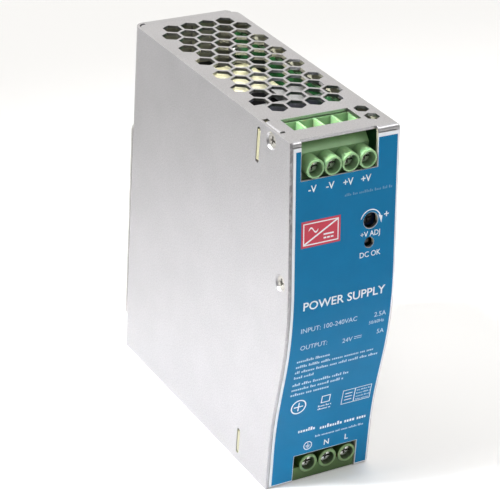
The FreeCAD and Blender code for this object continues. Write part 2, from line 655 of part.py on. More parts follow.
def trimmer_rotor():
    """Screwdriver-slotted rotor of the trimmer."""
    disc = rod("y", ROTOR_R, (POT_X, POT_Z), (POT_FACE - 1.0, POT_FACE - 0.05))
    stem = rod("y", 1.0, (POT_X, POT_Z), (POT_FACE - 0.5, POT_FACE + 2.5))
    slots = [block((POT_X - 1.7, POT_X + 1.7), (POT_FACE - 2, POT_FACE - 0.45), (POT_Z - 0.3, POT_Z + 0.3)),
             block((POT_X - 0.3, POT_X + 0.3), (POT_FACE - 2, POT_FACE - 0.45), (POT_Z - 1.7, POT_Z + 1.7))]
    return join([disc, stem]).cut(slots)


def status_led():
    """3 mm lamp with its bent leads."""
    tip = LED_TIP
    at = (LED_X, LED_Z)
    body = rod("y", 1.5, at, (tip + 1.5, tip + 5.0))
    dome = Part.makeSphere(1.5, V(LED_X, tip + 1.5, LED_Z))
    collar = rod("y", 1.9, at, (tip + 4.2, tip + 5.2))
    parts = [body, dome, collar]
    for dz in (-1.27, 1.27):
        z = LED_Z + dz
        parts.append(rod("y", 0.25, (LED_X, z), (tip + 5.0, tip + 8.0)))
        parts.append(Part.makeSphere(0.25, V(LED_X, tip + 8.0, z)))
        parts.append(rod("x", 0.25, (tip + 8.0, z), (LED_X, BOARD_X[1])))
    return join(parts)


# ---- main board and its parts -----------------------------------------------------------

FACE = BOARD_X[0]                 # component side of the main board


def main_board():
    board = block(BOARD_X, BOARD_Y, BOARD_Z)
    board = rounded(board, 1.5, lambda e: along_axis(e, 0))
    holes = [rod("x", 1.6, at, (10, 20)) for at in BOARD_HOLES]
    led_y = LED_TIP + 8.0
    holes += [rod("x", 0.35, (POT_FACE + 2.5, POT_Z + dz), (10, 20)) for dz in (-2.5, 0, 2.5)]
    holes += [rod("x", 0.3, (led_y, LED_Z + dz), (10, 20)) for dz in (-1.27, 1.27)]
    return board.cut(holes)


def board_standoffs():
    """Tapped posts between the right wall and the board, one solid each."""
    wall = RIGHT - SHEET
    return Part.Compound([ring("x", STANDOFF_R, THREAD_R, at, (BOARD_X[1], wall)) for at in BOARD_HOLES])


def board_screws():
    """Pan-head screws that hold the board to the posts, one solid each."""
    screws = []
    for at in BOARD_HOLES:
        head = rod("x", 2.75, at, (FACE - 2.0, FACE))
        head = rounded(head, 0.8, lambda e: near(e.CenterOfMass.x, FACE - 2.0) and e.Length > 5)
        shank = rod("x", SCREW_R, at, (FACE - 1, RIGHT - SHEET - 0.3))
        screws.append(join([head, shank]).cut(cross_recess("x", at, (FACE - 2.0, FACE - 0.8))))
    return Part.Compound(screws)


def insulation_sheet():
    """Film between the board's solder side and the right wall."""
    film = block((RIGHT - SHEET - 0.35, RIGHT - SHEET - 0.1), (-45.0, 47.0), (5.0, 120.0))
    return film.cut([rod("x", STANDOFF_R + 0.3, at, (15, 20)) for at in BOARD_HOLES])


# transformer: winding along Y between the two halves of an E core
CORE_Z = (95.5, 107.5)
CORE_Y = (-5.8, 29.4)
CORE_X = (-16.0, 14.0)
CORE_LEG = 4.4
CORE_MID = -1.0
WIND_Z = (84.0, 119.2)
WIND_X = (-11.2, 9.2)
WIND_Y = (0.0, 23.6)
WIND_CORNER = 1.8


def transformer_core():
    """Two ferrite E halves that meet in the middle, one solid each."""
    middle = sum(CORE_Y) / 2
    window_y = (CORE_Y[0] + CORE_LEG, CORE_Y[1] - CORE_LEG)
    full = block(CORE_X, CORE_Y, CORE_Z)
    for x in ((CORE_X[0] + CORE_LEG, CORE_MID - 4.0), (CORE_MID + 4.0, CORE_X[1] - CORE_LEG)):
        full = full.cut(block(x, window_y, CORE_Z))
    halves = [full.common(block((-30, 30), (CORE_Y[0], middle - 0.05), CORE_Z)),
              full.common(block((-30, 30), (middle + 0.05, CORE_Y[1]), CORE_Z))]
    return Part.Compound(halves)


def transformer_bobbin():
    """Tube round the middle leg with an end flange that stands on the board each side."""
    leg_x = (CORE_MID - 4.1, CORE_MID + 4.1)
    leg_z = (CORE_Z[0] - 0.1, CORE_Z[1] + 0.1)
    flanges = [(WIND_Y[0] - 1.2, WIND_Y[0]), (WIND_Y[1], WIND_Y[1] + 1.2)]
    parts = [block((leg_x[0] - 1, leg_x[1] + 1), (flanges[0][0], flanges[1][1]),
                   (leg_z[0] - 1, leg_z[1] + 1))]
    for y in flanges:
        parts.append(block(WIND_X, y, WIND_Z))
        parts.append(block((WIND_X[1] - 1, FACE), y, (WIND_Z[0], CORE_Z[0] - 0.8)))
        parts.append(block((WIND_X[1] - 1, FACE), y, (CORE_Z[1] + 0.8, WIND_Z[1])))
    return join(parts).cut(block(leg_x, (-30, 50), leg_z))


def transformer_winding():
    """Taped winding, rounded along its length, with the bobbin's tube through it."""
    coil = block(WIND_X, (WIND_Y[0] + 0.05, WIND_Y[1] - 0.05), (WIND_Z[0] + 0.8, WIND_Z[1] - 0.8))
    coil = rounded(coil, WIND_CORNER, lambda e: along_axis(e, 1))
    leg = block((CORE_MID - 5.15, CORE_MID + 5.15), (-30, 50), (CORE_Z[0] - 1.15, CORE_Z[1] + 1.15))
    return coil.cut(leg)


def can(radius, at, length):
    """Electrolytic capacitor lying along X on the board, with a crimp groove at its foot."""
    body = rod("x", radius, at, (FACE - length, FACE))
    body = rounded(body, min(1.0, radius / 6), lambda e: near(e.CenterOfMass.x, FACE - length))
    groove = ring("x", radius + 1, radius - 0.5, at, (FACE - 3.6, FACE - 2.6))
    return body.cut(groove)


OUT_CANS = [(-19.0, 113.0), (-19.0, 99.6), (-19.0, 86.2)]
BULK_CAN = (14.0, 44.0)


def output_capacitors():
    return Part.Compound([can(6.3, at, 25.0) for at in OUT_CANS])


def bulk_capacitor():
    return can(12.5, BULK_CAN, 30.0)


OUT_SINK_Y = (-12.6, -10.6)
IN_SINK_Y = (34.0, 36.0)


def heatsink(y, z, foot):
    """Bent aluminium plate standing on the board; foot is the Y span of its bent edge."""
    plate = block((-15.0, FACE), y, z)
    edge = block((-15.0, -13.0), foot, z)
    return join([plate, edge])


def secondary_heatsink():
    """Output rectifier's plate, with a shelf bent back along its top."""
    top = 119.5
    plate = heatsink(OUT_SINK_Y, (62.0, top), (OUT_SINK_Y[0] - 5.0, OUT_SINK_Y[1]))
    shelf = block((2.5, 13.0), (OUT_SINK_Y[0], WIND_Y[0] - 1.5), (top - 2.0, top))
    return join([plate, shelf]).cut(rod("y", THREAD_R, (0.0, 76.5), (-20, 0)))


def primary_heatsink():
    return heatsink(IN_SINK_Y, (18.0, 96.0), (IN_SINK_Y[0], IN_SINK_Y[1] + 5.0)).cut(
        rod("y", THREAD_R, (0.0, 82.5), (20, 50)))


def tab_package(y, z, tab_side):
    """Power semiconductor bolted to a plate: moulded body, metal tab and three legs."""
    tab_y = (y[0], y[0] + 1.3) if tab_side < 0 else (y[1] - 1.3, y[1])
    body_y = (y[0] + 0.4, y[1]) if tab_side < 0 else (y[0], y[1] - 0.4)
    body = block((-5.0, 5.0), body_y, (z, z + 9.0))
    tab = block((-5.0, 5.0), tab_y, (z, z + 15.5))
    middle = sum(y) / 2
    legs = [block((4.0, FACE), (middle - 0.4, middle + 0.4), (z + dz, z + dz + 0.8))
            for dz in (1.2, 4.1, 7.0)]
    return join([body, tab] + legs).cut(rod("y", 1.7, (0.0, z + 12.5), (y[0] - 1, y[1] + 1)))


def rectifier_diode():
    return tab_package((OUT_SINK_Y[1], OUT_SINK_Y[1] + 4.4), 64.0, -1)


def power_transistor():
    return tab_package((IN_SINK_Y[0] - 4.4, IN_SINK_Y[0]), 70.0, 1)


def heatsink_screws():
    """Screws that hold the two power packages, one solid each."""
    diode = join([rod("y", SCREW_R, (0.0, 76.5), (-15.0, -8.0)), rod("y", 2.75, (0.0, 76.5), (-9.3, -7.3))])
    switch = join([rod("y", SCREW_R, (0.0, 82.5), (31.0, 38.5)), rod("y", 2.75, (0.0, 82.5), (30.7, 32.7))])
    return Part.Compound([diode, switch])


def bridge_rectifier():
    body = block((-6.0, FACE - 4.0), (IN_SINK_Y[1], IN_SINK_Y[1] + 4.0), (26.0, 46.0))
    legs = [block((FACE - 5.0, FACE), (37.6, 38.4), (z, z + 0.9)) for z in (28.0, 33.0, 38.0, 43.0)]
    return join([body] + legs)


CHOKE = (-12.0, 32.0)


def choke_core():
    return ring("x", 10.0, 6.0, CHOKE, (2.0, 12.0))


def choke_windings():
    """Two wound sectors round the choke core, one solid each."""
    thick = ring("x", 11.5, 4.5, CHOKE, (0.5, 13.5)).cut(ring("x", 10.05, 5.95, CHOKE, (1.95, 12.05)))
    gap = 2.2
    upper = block((0, 14), (-30, 10), (CHOKE[1] + gap, 60))
    lower = block((0, 14), (-30, 10), (0, CHOKE[1] - gap))
    return Part.Compound([thick.common(upper), thick.common(lower)])


def output_inductor():
    """Toroid with its winding as one thick rounded ring."""
    body = ring("x", 10.5, 4.0, (-26.0, 62.0), (3.0, 14.0))
    return body.makeFillet(2.2, body.Edges)


def x_capacitor():
    body = block((-2.0, FACE), (-31.2, -24.2), (12.0, 38.0))
    return rounded(body, 0.6, lambda e: not near(e.CenterOfMass.x, FACE))


def fuse():
    """Glass tube fuse with its end caps and clips, upright on the board."""
    at = (11.0, -41.0)
    tube = rod("z", 2.4, at, (42.0, 58.0))
    caps = [rod("z", 2.6, at, z) for z in ((39.0, 44.0), (56.0, 61.0))]
    clips = [block((10.0, FACE), (-41.6, -40.4), z) for z in ((40.5, 42.5), (57.5, 59.5))]
    return join([tube] + caps + clips)


def disc(radius, at, y, lead_drop):
    """Disc part facing Y, with two leads to the board."""
    body = rod("y", radius, at, y)
    body = rounded(body, (y[1] - y[0]) * 0.35, lambda e: e.Length > 5 and not along_axis(e, 1))
    middle = sum(y) / 2
    leads = [rod("x", 0.4, (middle, at[1] + dz), (at[0], FACE)) for dz in (-lead_drop, lead_drop)]
    return join([body] + leads)


def varistor():
    return disc(6.5, (7.0, 74.0), (-40.0, -36.0), 3.5)


def thermistor():
    return disc(5.5, (8.0, 20.0), (4.0, 9.0), 2.5)


def signal_parts():
    """Optocoupler, controller and small film capacitors on the board, one solid each."""
    spans = [((11.9, FACE), (4.0, 10.5), (70.0, 74.6)), ((11.9, FACE), (16.0, 22.5), (68.0, 77.6)),
             ((7.0, FACE), (-40.0, -36.0), (84.5, 88.5)), ((8.0, FACE), (24.0, 28.0), (14.0, 22.0)),
             ((10.0, FACE), (38.5, 43.0), (60.0, 68.0)), ((9.0, FACE), (36.5, 42.0), (100.0, 108.0))]
    return Part.Compound([block(*span) for span in spans])


# ---- assembly ---------------------------------------------------------------------------


def all_nodes():
    out_poles = pole_positions(OUT_X, OUT_PITCH, OUT_POLES)
    in_poles = pole_positions(IN_X, IN_PITCH, IN_POLES)
    nodes = {
        "chassis_shell": chassis_shell(),
        "side_cover": side_cover(),
        "front_label": front_label(),
        "case_screws": case_screws(),
        "rail_bracket": rail_bracket(),
        "bracket_rivets": bracket_rivets(),
        "rail_latch": rail_latch(),
        "latch_spring": latch_spring(),
        "output_terminal": output_terminal(),
        "input_terminal": input_terminal(),
        "output_contacts": contacts(out_poles, OUT_Z, 1),
        "input_contacts": contacts(in_poles, IN_Z, -1),
        "output_board": end_board(out_poles, OUT_Z, 1, (97.0, 123.9), OUT_SLOT_Z),
        "input_board": end_board(in_poles, IN_Z, -1, (1.3, 27.0), IN_SLOT_Z),
        "trimmer_body": trimmer_body(),
        "trimmer_rotor": trimmer_rotor(),
        "status_led": status_led(),
        "main_board": main_board(),
        "board_standoffs": board_standoffs(),
        "board_screws": board_screws(),
        "insulation_sheet": insulation_sheet(),
        "transformer_core": transformer_core(),
        "transformer_bobbin": transformer_bobbin(),
        "transformer_winding": transformer_winding(),
        "output_capacitors": output_capacitors(),
        "bulk_capacitor": bulk_capacitor(),
        "primary_heatsink": primary_heatsink(),
        "secondary_heatsink": secondary_heatsink(),
        "heatsink_screws": heatsink_screws(),
        "power_transistor": power_transistor(),
        "rectifier_diode": rectifier_diode(),
        "bridge_rectifier": bridge_rectifier(),
        "choke_core": choke_core(),
        "choke_windings": choke_windings(),
        "output_inductor": output_inductor(),
        "x_capacitor": x_capacitor(),
        "fuse": fuse(),
        "varistor": varistor(),
        "thermistor": thermistor(),
        "signal_parts": signal_parts(),
    }
    for i, x in enumerate(out_poles, 1):
        nodes[f"output_screw_{i}"] = terminal_screw(x, OUT_Z)
        nodes[f"output_clamp_{i}"] = terminal_clamp(x, OUT_Z)
    for i, x in enumerate(in_poles, 1):
        nodes[f"input_screw_{i}"] = terminal_screw(x, IN_Z)
        nodes[f"input_clamp_{i}"] = terminal_clamp(x, IN_Z)
    return nodes


os.makedirs("parts", exist_ok=True)
for name, shape in all_nodes().items():
    shape.exportStep(f"parts/{name}.step")
    print(f"{name:22s} solids {len(shape.Solids)}  valid {shape.isValid()}  volume {shape.Volume:9.1f}")
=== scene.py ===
"""Looks of a DIN rail power supply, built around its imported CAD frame.

Metres throughout.  +Z is up, +X to the right as seen from the front, and the front faces -Y.
"""
import json
import math
import random

import bmesh
import bpy
from mathutils import Matrix, Vector
from mathutils.bvhtree import BVHTree


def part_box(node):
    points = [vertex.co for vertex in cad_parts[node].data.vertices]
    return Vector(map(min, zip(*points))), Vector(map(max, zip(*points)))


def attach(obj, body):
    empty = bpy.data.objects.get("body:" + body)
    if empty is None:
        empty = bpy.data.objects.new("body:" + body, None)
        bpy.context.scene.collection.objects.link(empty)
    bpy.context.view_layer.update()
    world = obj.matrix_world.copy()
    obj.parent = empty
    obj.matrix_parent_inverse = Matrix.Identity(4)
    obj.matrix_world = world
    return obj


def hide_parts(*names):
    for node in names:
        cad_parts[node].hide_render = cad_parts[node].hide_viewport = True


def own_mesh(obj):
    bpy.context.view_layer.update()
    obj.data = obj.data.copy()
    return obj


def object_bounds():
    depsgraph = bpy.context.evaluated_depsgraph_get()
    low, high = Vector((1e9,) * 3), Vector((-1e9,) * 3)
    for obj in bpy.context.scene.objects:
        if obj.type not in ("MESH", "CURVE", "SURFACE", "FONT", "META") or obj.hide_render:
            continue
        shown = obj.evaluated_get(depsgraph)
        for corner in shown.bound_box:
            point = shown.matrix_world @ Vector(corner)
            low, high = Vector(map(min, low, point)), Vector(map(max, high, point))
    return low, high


MM = 0.001
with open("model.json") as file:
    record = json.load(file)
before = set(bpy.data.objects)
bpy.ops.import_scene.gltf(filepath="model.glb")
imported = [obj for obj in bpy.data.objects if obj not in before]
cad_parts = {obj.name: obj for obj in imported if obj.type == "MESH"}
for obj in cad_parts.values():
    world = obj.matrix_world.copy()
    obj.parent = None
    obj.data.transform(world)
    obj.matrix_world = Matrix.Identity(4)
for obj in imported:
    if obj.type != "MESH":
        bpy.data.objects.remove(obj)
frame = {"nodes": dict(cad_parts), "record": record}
cad_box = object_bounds()
nodes = frame["nodes"]
scene = bpy.context.scene

SHEET_THICKNESS = 1.0 * MM
CASE_MIDDLE = (0, 0, 62 * MM)


# ---- materials --------------------------------------------------------------------------


class Shader:
    """A Principled material with small recipes for the nodes that feed it."""

    def __init__(self, name, color, roughness, **sockets):
        self.material = bpy.data.materials.new(name)
        self.material.use_nodes = True
        self.tree = self.material.node_tree
        self.bsdf = self.tree.nodes["Principled BSDF"]
        self.set("Base Color", (*color, 1.0))
        self.set("Roughness", roughness)
        for key, value in sockets.items():
            self.set(key.replace("_", " "), value)
        self.normal = None

    def set(self, socket, value):
        self.bsdf.inputs[socket].default_value = value

    def link(self, output, socket):
        self.tree.links.new(output, self.bsdf.inputs[socket])

    def node(self, kind, inputs=(), **settings):
        """Adds a node; inputs are (name or index, value or output socket) pairs."""
        made = self.tree.nodes.new("ShaderNode" + kind)
        for key, value in settings.items():
            setattr(made, key, value)
        for key, value in inputs:
            if isinstance(value, bpy.types.NodeSocket):
                self.tree.links.new(value, made.inputs[key])
            else:
                made.inputs[key].default_value = value
        return made

    def place(self, scale=(1, 1, 1)):
        """Object coordinates times a scale: the grain stays with the piece as it moves."""
        at = self.node("TexCoord").outputs["Object"]
        return self.node("Mapping", [("Vector", at), ("Scale", scale)]).outputs["Vector"]

    def noise(self, scale, detail=3.0, stretch=(1, 1, 1), roughness=0.5):
        inputs = [("Vector", self.place(stretch)), ("Scale", scale), ("Detail", detail),
                  ("Roughness", roughness)]
        return self.node("TexNoise", inputs).outputs["Fac"]

    def cell_colors(self, scale, stretch):
        """A random colour for each cell of a Voronoi pattern."""
        inputs = [("Vector", self.place(stretch)), ("Scale", scale)]
        return self.node("TexVoronoi", inputs, feature="F1").outputs["Color"]

    def facing(self):
        """X, Y and Z of the way a face looks, without bump."""
        return self.node("SeparateXYZ",
                         [(0, self.node("NewGeometry").outputs["True Normal"])]).outputs

    def position(self):
        """X, Y and Z in the piece's own coordinates."""
        return self.node("SeparateXYZ", [(0, self.place())]).outputs

    def ramp(self, value, *stops):
        """Colours or greys at positions along a value."""
        made = self.node("ValToRGB", [("Fac", value)])
        ramp = made.color_ramp
        while len(ramp.elements) < len(stops):
            ramp.elements.new(0.5)
        for element, (position, color) in zip(ramp.elements, stops):
            element.position = position
            grey = isinstance(color, (int, float))
            element.color = (color, color, color, 1) if grey else (*color, 1)
        return made.outputs["Color"]

    def mix(self, factor, first, second):
        """Blends two colours; inputs 0, 6 and 7 of a colour Mix are its factor, A and B."""
        colors = [value if isinstance(value, bpy.types.NodeSocket) else (*value, 1)
                  for value in (first, second)]
        return self.node("Mix", [(0, factor), (6, colors[0]), (7, colors[1])],
                         data_type="RGBA", blend_type="MIX").outputs[2]

    def math(self, operation, first, second=0.0):
        return self.node("Math", [(0, first), (1, second)], operation=operation).outputs[0]

    def bump(self, height, distance):
        """Adds relief of a real height, in metres, on top of what is there."""
        inputs = [("Height", height), ("Distance", distance), ("Strength", 1.0)]
        if self.normal is not None:
            inputs.append(("Normal", self.normal))
        self.normal = self.node("Bump", inputs).outputs["Normal"]
        self.link(self.normal, "Normal")

    def paint_recess_shade(self, color, reach, keep):
        """Paints shade into a colour: darkens it inside recesses narrower than reach, in metres.
        """
        open_sky = self.node("AmbientOcclusion", [("Distance", reach)], samples=8).outputs["AO"]
        return self.mix(self.ramp(open_sky, (0.25, keep), (0.95, 1.0)), (0, 0, 0), color)

    def soften(self, radius):
        """Rounds the look of sharp edges by a real radius, in metres."""
        self.normal = self.node("Bevel", [("Radius", radius)], samples=4).outputs["Normal"]
        self.link(self.normal, "Normal")


def scaled(color, factor):
    return tuple(c * factor for c in color)


def inner_faces(s):
    """Mask of the sheet's faces that look in on the middle of the case, below the top panel."""
    middle = s.node("VectorMath", [(0, s.place()), (1, CASE_MIDDLE)], operation="SUBTRACT")
    normal = s.node("NewGeometry").outputs["True Normal"]
    outward = s.node("VectorMath", [(0, middle.outputs[0]), (1, normal)],
                     operation="DOT_PRODUCT").outputs["Value"]
    under_top = s.math("LESS_THAN", s.position()[2], cad_box[1][2] - 0.95 * SHEET_THICKNESS)
    return s.math("MULTIPLY", s.math("LESS_THAN", outward, -5 * MM), under_top)


def sheet_metal(name, color, roughness, sheared=None, dull_inside=False):
    """Rolled and zinc-coated sheet: soft blotches, upright rolling grain and fine sand.

    sheared gives a 0-to-1 mask of the cut edges, where the bare dark steel shows.
    dull_inside gives the faces that look in on the case a duller, yellowish finish.
    """
    s = Shader(name, color, roughness, Metallic=1.0)
    s.soften(0.12 * MM)
    blotch = s.noise(55, 4, roughness=0.6)
    tone = s.ramp(blotch, (0.3, scaled(color, 0.93)), (0.7, scaled(color, 1.05)))
    streak = s.noise(2600, 2, (1, 1, 0.06))
    tone = s.mix(s.ramp(streak, (0.3, 0.0), (0.7, 0.14)), tone, scaled(color, 0.8))
    sand = s.noise(2100, 3, roughness=0.7)
    tone = s.mix(s.ramp(sand, (0.38, 0.5), (0.6, 0.0)), tone, scaled(color, 0.66))
    if sheared is not None:
        tone = s.mix(sheared(s), tone, (0.22, 0.215, 0.225))
    grain = s.noise(5200, 2)
    uneven = s.math("ADD", s.math("MULTIPLY", grain, 0.5), s.math("MULTIPLY", blotch, 0.5))
    rough = s.ramp(uneven, (0.25, roughness - 0.05), (0.75, roughness + 0.05))
    if dull_inside:
        inside = inner_faces(s)
        tone = s.mix(inside, tone, (0.46, 0.45, 0.34))
        s.link(s.math("SUBTRACT", 1.0, s.math("MULTIPLY", inside, 0.75)), "Metallic")
        rough = s.math("ADD", rough, s.math("MULTIPLY", inside, 0.2))
    s.link(tone, "Base Color")
    s.link(rough, "Roughness")
    s.bump(grain, 0.012 * MM)
    s.bump(streak, 0.005 * MM)
    return s.material


def turned_metal(name, color, roughness, tint=0.1, painted_recess_shade=0.6):
    """Plated small part: even colour with light tarnish, painted shade in recesses and a fine
    tool grain.

    tint is how much darker the tarnish is, and the last argument how much light a recess keeps
    under the painted shade.
    """
    s = Shader(name, color, roughness, Metallic=1.0)
    s.soften(0.06 * MM)
    tarnish = s.noise(700, 3)
    tone = s.ramp(tarnish, (0.3, scaled(color, 1 - tint)), (0.7, color))
    s.link(s.paint_recess_shade(tone, 0.8 * MM, painted_recess_shade), "Base Color")
    s.link(s.ramp(tarnish, (0.3, roughness * 1.25), (0.7, roughness * 0.85)), "Roughness")
    s.bump(s.noise(3000, 2), 0.004 * MM)
    return s.material


def plastic(name, color, roughness, spread=0.1, texture=1500, relief=0.006, painted_recess_shade=None,
            lit_rims=None, **sockets):
    """Moulded plastic: slight mottling, a fine spark-eroded texture and soft edges.

    spread is the mottling's strength, texture and relief (in millimetres) the scale and height
    of the mould's grain, and the argument after them the reach of the painted shade in recesses.
    The argument after that, a (y, colour) pair, paints a highlight: whatever stands further
    forward than y gets that colour.
    """
    s = Shader(name, color, roughness, **sockets)
    s.soften(0.12 * MM)
    tone = s.ramp(s.noise(160, 3), (0.3, scaled(color, 1 - spread)),
                  (0.7, scaled(color, 1 + spread)))
    # painted highlight on the rims, then painted shade in recesses
    if lit_rims is not None:
        tone = s.mix(s.math("LESS_THAN", s.position()[1], lit_rims[0]), tone, lit_rims[1])
    if painted_recess_shade is not None:
        tone = s.paint_recess_shade(tone, painted_recess_shade, 0.35)
    s.link(tone, "Base Color")
    fine = s.noise(texture, 3)
    s.link(s.ramp(fine, (0.3, roughness - 0.05), (0.7, roughness + 0.07)), "Roughness")
    s.bump(fine, relief * MM)
    return s.material


def circuit_board(name, flat, laminate):
    """Solder mask over copper: tracks show as lighter bands; bare laminate at the cut edges.

    flat is the axis that the board's faces look along.
    """
    mask, copper = (0.008, 0.055, 0.014), (0.016, 0.09, 0.026)
    s = Shader(name, mask, 0.35, Coat_Weight=0.35, Coat_Roughness=0.2)
    lanes = s.cell_colors(230, (1, 1, 0.35))
    tracks = s.ramp(s.node("SeparateColor", [(0, lanes)]).outputs[0], (0.45, 0.0), (0.5, 1.0))
    cut = s.math("LESS_THAN", s.math("ABSOLUTE", s.facing()[flat]), 0.5)
    s.link(s.mix(cut, s.mix(tracks, mask, copper), laminate), "Base Color")
    s.link(s.ramp(s.noise(900, 2), (0.3, 0.28), (0.7, 0.42)), "Roughness")
    s.bump(tracks, 0.03 * MM)
    return s.material


def tape(name):
    """Pale yellow polyester tape in overlapping turns, slightly wrinkled."""
    color = (0.60, 0.585, 0.37)
    s = Shader(name, color, 0.28, Coat_Weight=0.4, Coat_Roughness=0.12)
    s.soften(0.5 * MM)
    wrinkle = s.noise(260, 4, (1, 0.35, 1))
    s.link(s.ramp(wrinkle, (0.3, (0.54, 0.51, 0.28)), (0.5, color), (0.75, (0.66, 0.65, 0.45))),
           "Base Color")
    s.bump(wrinkle, 0.12 * MM)
    turns = s.ramp(s.noise(420, 1, (0.05, 1, 0.05)), (0.48, 0.0), (0.52, 1.0))
    s.bump(turns, 0.04 * MM)
    return s.material


def wire_finish(name):
    """Enamelled copper with slight changes of colour along the wire."""
    s = Shader(name, (0.55, 0.2, 0.08), 0.28, Metallic=0.85, Coat_Weight=0.5,
               Coat_Roughness=0.15)
    tone = s.noise(500, 3)
    s.link(s.ramp(tone, (0.3, (0.42, 0.13, 0.05)), (0.7, (0.66, 0.27, 0.11))), "Base Color")
    s.bump(tone, 0.01 * MM)
    return s.material


def ferrite(name):
    """Pressed ceramic: near black, matt and slightly porous."""
    s = Shader(name, (0.045, 0.046, 0.05), 0.55)
    s.soften(0.3 * MM)
    pores = s.noise(2200, 4)
    s.link(s.ramp(pores, (0.35, (0.03, 0.03, 0.034)), (0.7, (0.07, 0.07, 0.075))), "Base Color")
    s.bump(pores, 0.02 * MM)
    return s.material


def cover_front_edge(s):
    """Mask of the cover's front cut; burrs make it uneven, and it fades towards the foot."""
    burr = s.ramp(s.noise(900, 2, (1, 1, 0.5)), (0.38, 0.3), (0.55, 1.0))
    higher_up = s.ramp(s.math("MULTIPLY", s.position()[2], 10.0), (0.55, 0.25), (0.95, 1.0))
    front = s.math("LESS_THAN", s.facing()[1], -0.8)
    return s.math("MULTIPLY", front, s.math("MULTIPLY", burr, higher_up))


def notch_edges(s):
    """Mask of the sides of the terminal notches in the front panel."""
    at = s.position()
    sideways = s.math("GREATER_THAN", s.math("ABSOLUTE", s.facing()[0]), 0.8)
    inside = s.math("LESS_THAN", s.math("ABSOLUTE", at[0]), 17.5 * MM)
    front = s.math("LESS_THAN", at[1], -49.5 * MM)
    return s.math("MULTIPLY", sideways, s.math("MULTIPLY", inside, front))


SHEET = (0.455, 0.450, 0.465)
MATERIALS = {
    "case_sheet": sheet_metal("case_sheet", SHEET, 0.30, sheared=notch_edges,
                              dull_inside=True),
    "bracket_sheet": sheet_metal("bracket_sheet", (0.56, 0.55, 0.54), 0.34),
    "latch_sheet": sheet_metal("latch_sheet", (0.50, 0.50, 0.50), 0.32),
    "label_film": plastic("label_film", (0.80, 0.83, 0.88), 0.38, 0.02, 2500, 0.003),
    # the plated and terminal screws get painted shade in their cross recesses
    "plated_screw": turned_metal("plated_screw", (0.50, 0.485, 0.45), 0.28, painted_recess_shade=0.05),
    "terminal_screw": turned_metal("terminal_screw", (0.95, 0.94, 0.91), 0.22, painted_recess_shade=0.06),
    "rivet_metal": turned_metal("rivet_metal", (0.62, 0.63, 0.64), 0.3),
    "spring_wire": turned_metal("spring_wire", (0.55, 0.55, 0.56), 0.25),
    # painted shade in the green block's recesses, such as the brow under the top panel's lip
    "terminal_green": plastic("terminal_green", (0.265, 0.475, 0.225), 0.42, 0.05,
                              painted_recess_shade=4 * MM,
                              Subsurface_Weight=0.08, Subsurface_Scale=1.0 * MM),
    # the input block: the output block's green plastic painted darker as shade, its rims painted
    # lighter as a highlight, and painted shade in its recesses
    "terminal_olive": plastic("terminal_olive", (0.058, 0.128, 0.026), 0.42, 0.05,
                              lit_rims=(-51.25 * MM, (0.15, 0.26, 0.10)),
                              painted_recess_shade=6 * MM,
                              Subsurface_Weight=0.08, Subsurface_Scale=1.0 * MM),
    "contact_metal": turned_metal("contact_metal", (0.80, 0.77, 0.70), 0.3),
    "circuit_board": circuit_board("circuit_board", 0, (0.03, 0.07, 0.03)),
    "trimmer_case": plastic("trimmer_case", (0.012, 0.03, 0.08), 0.35),
    # painted shade in the trimmer rotor's slot
    "trimmer_rotor": plastic("trimmer_rotor", (0.018, 0.018, 0.02), 0.4, painted_recess_shade=0.5 * MM),
    "led_lens": plastic("led_lens", (0.035, 0.03, 0.022), 0.22, Coat_Weight=0.4, IOR=1.5),
    "standoff_metal": turned_metal("standoff_metal", (0.72, 0.58, 0.33), 0.3),
    "insulation_film": plastic("insulation_film", (0.035, 0.034, 0.03), 0.4),
    "ferrite": ferrite("ferrite"),
    "bobbin_plastic": plastic("bobbin_plastic", (0.025, 0.025, 0.027), 0.45),
    "winding_tape": tape("winding_tape"),
    "capacitor_sleeve": plastic("capacitor_sleeve", (0.012, 0.014, 0.03), 0.25, 0.2,
                                Coat_Weight=0.5, Coat_Roughness=0.12),
    "heatsink_metal": sheet_metal("heatsink_metal", (0.70, 0.71, 0.72), 0.34),
    "package_epoxy": plastic("package_epoxy", (0.018, 0.018, 0.019), 0.5),
    "copper_wire": wire_finish("copper_wire"),
    "film_box": plastic("film_box", (0.62, 0.45, 0.06), 0.4),
    "fuse_glass": plastic("fuse_glass", (0.72, 0.72, 0.69), 0.15),
    "disc_coating": plastic("disc_coating", (0.03, 0.12, 0.42), 0.35),
    "thermistor_coating": plastic("thermistor_coating", (0.03, 0.07, 0.045), 0.4),
    "small_package": plastic("small_package", (0.03, 0.03, 0.032), 0.45),
    "clamp_metal": turned_metal("clamp_metal", (0.74, 0.71, 0.64), 0.3),
}


def dress(piece, material):
    piece.data.materials.clear()
    piece.data.materials.append(material)


for entry in frame["record"]["subparts"]:
    dress(nodes[entry["node"]], MATERIALS[entry["material_slot"]])
for board in ("output_board", "input_board"):
    dress(nodes[board], circuit_board(board, 1, (0.26, 0.25, 0.15)))
dress(nodes["side_cover"], sheet_metal("cover_sheet", SHEET, 0.30, sheared=cover_front_edge,
                                        dull_inside=True))

MATERIALS["ink_blue"] = plastic("ink_blue", (0.0, 0.158, 0.345), 0.4, 0.04, 2200, 0.004,
                                Specular_IOR_Level=0.15)
MATERIALS["ink_white"] = plastic("ink_white", (0.84, 0.88, 0.92), 0.4, 0.03, 2500, 0.003)
MATERIALS["ink_red"] = plastic("ink_red", (0.52, 0.028, 0.06), 0.36, 0.05, 2200, 0.003)
MATERIALS["ink_faint"] = plastic("ink_faint", (0.09, 0.27, 0.45), 0.4, 0.05, 2500, 0.003)
MATERIALS["ink_pale"] = plastic("ink_pale", (0.50, 0.66, 0.80), 0.4, 0.05, 2500, 0.003)


# ---- pieces -----------------------------------------------------------------------------


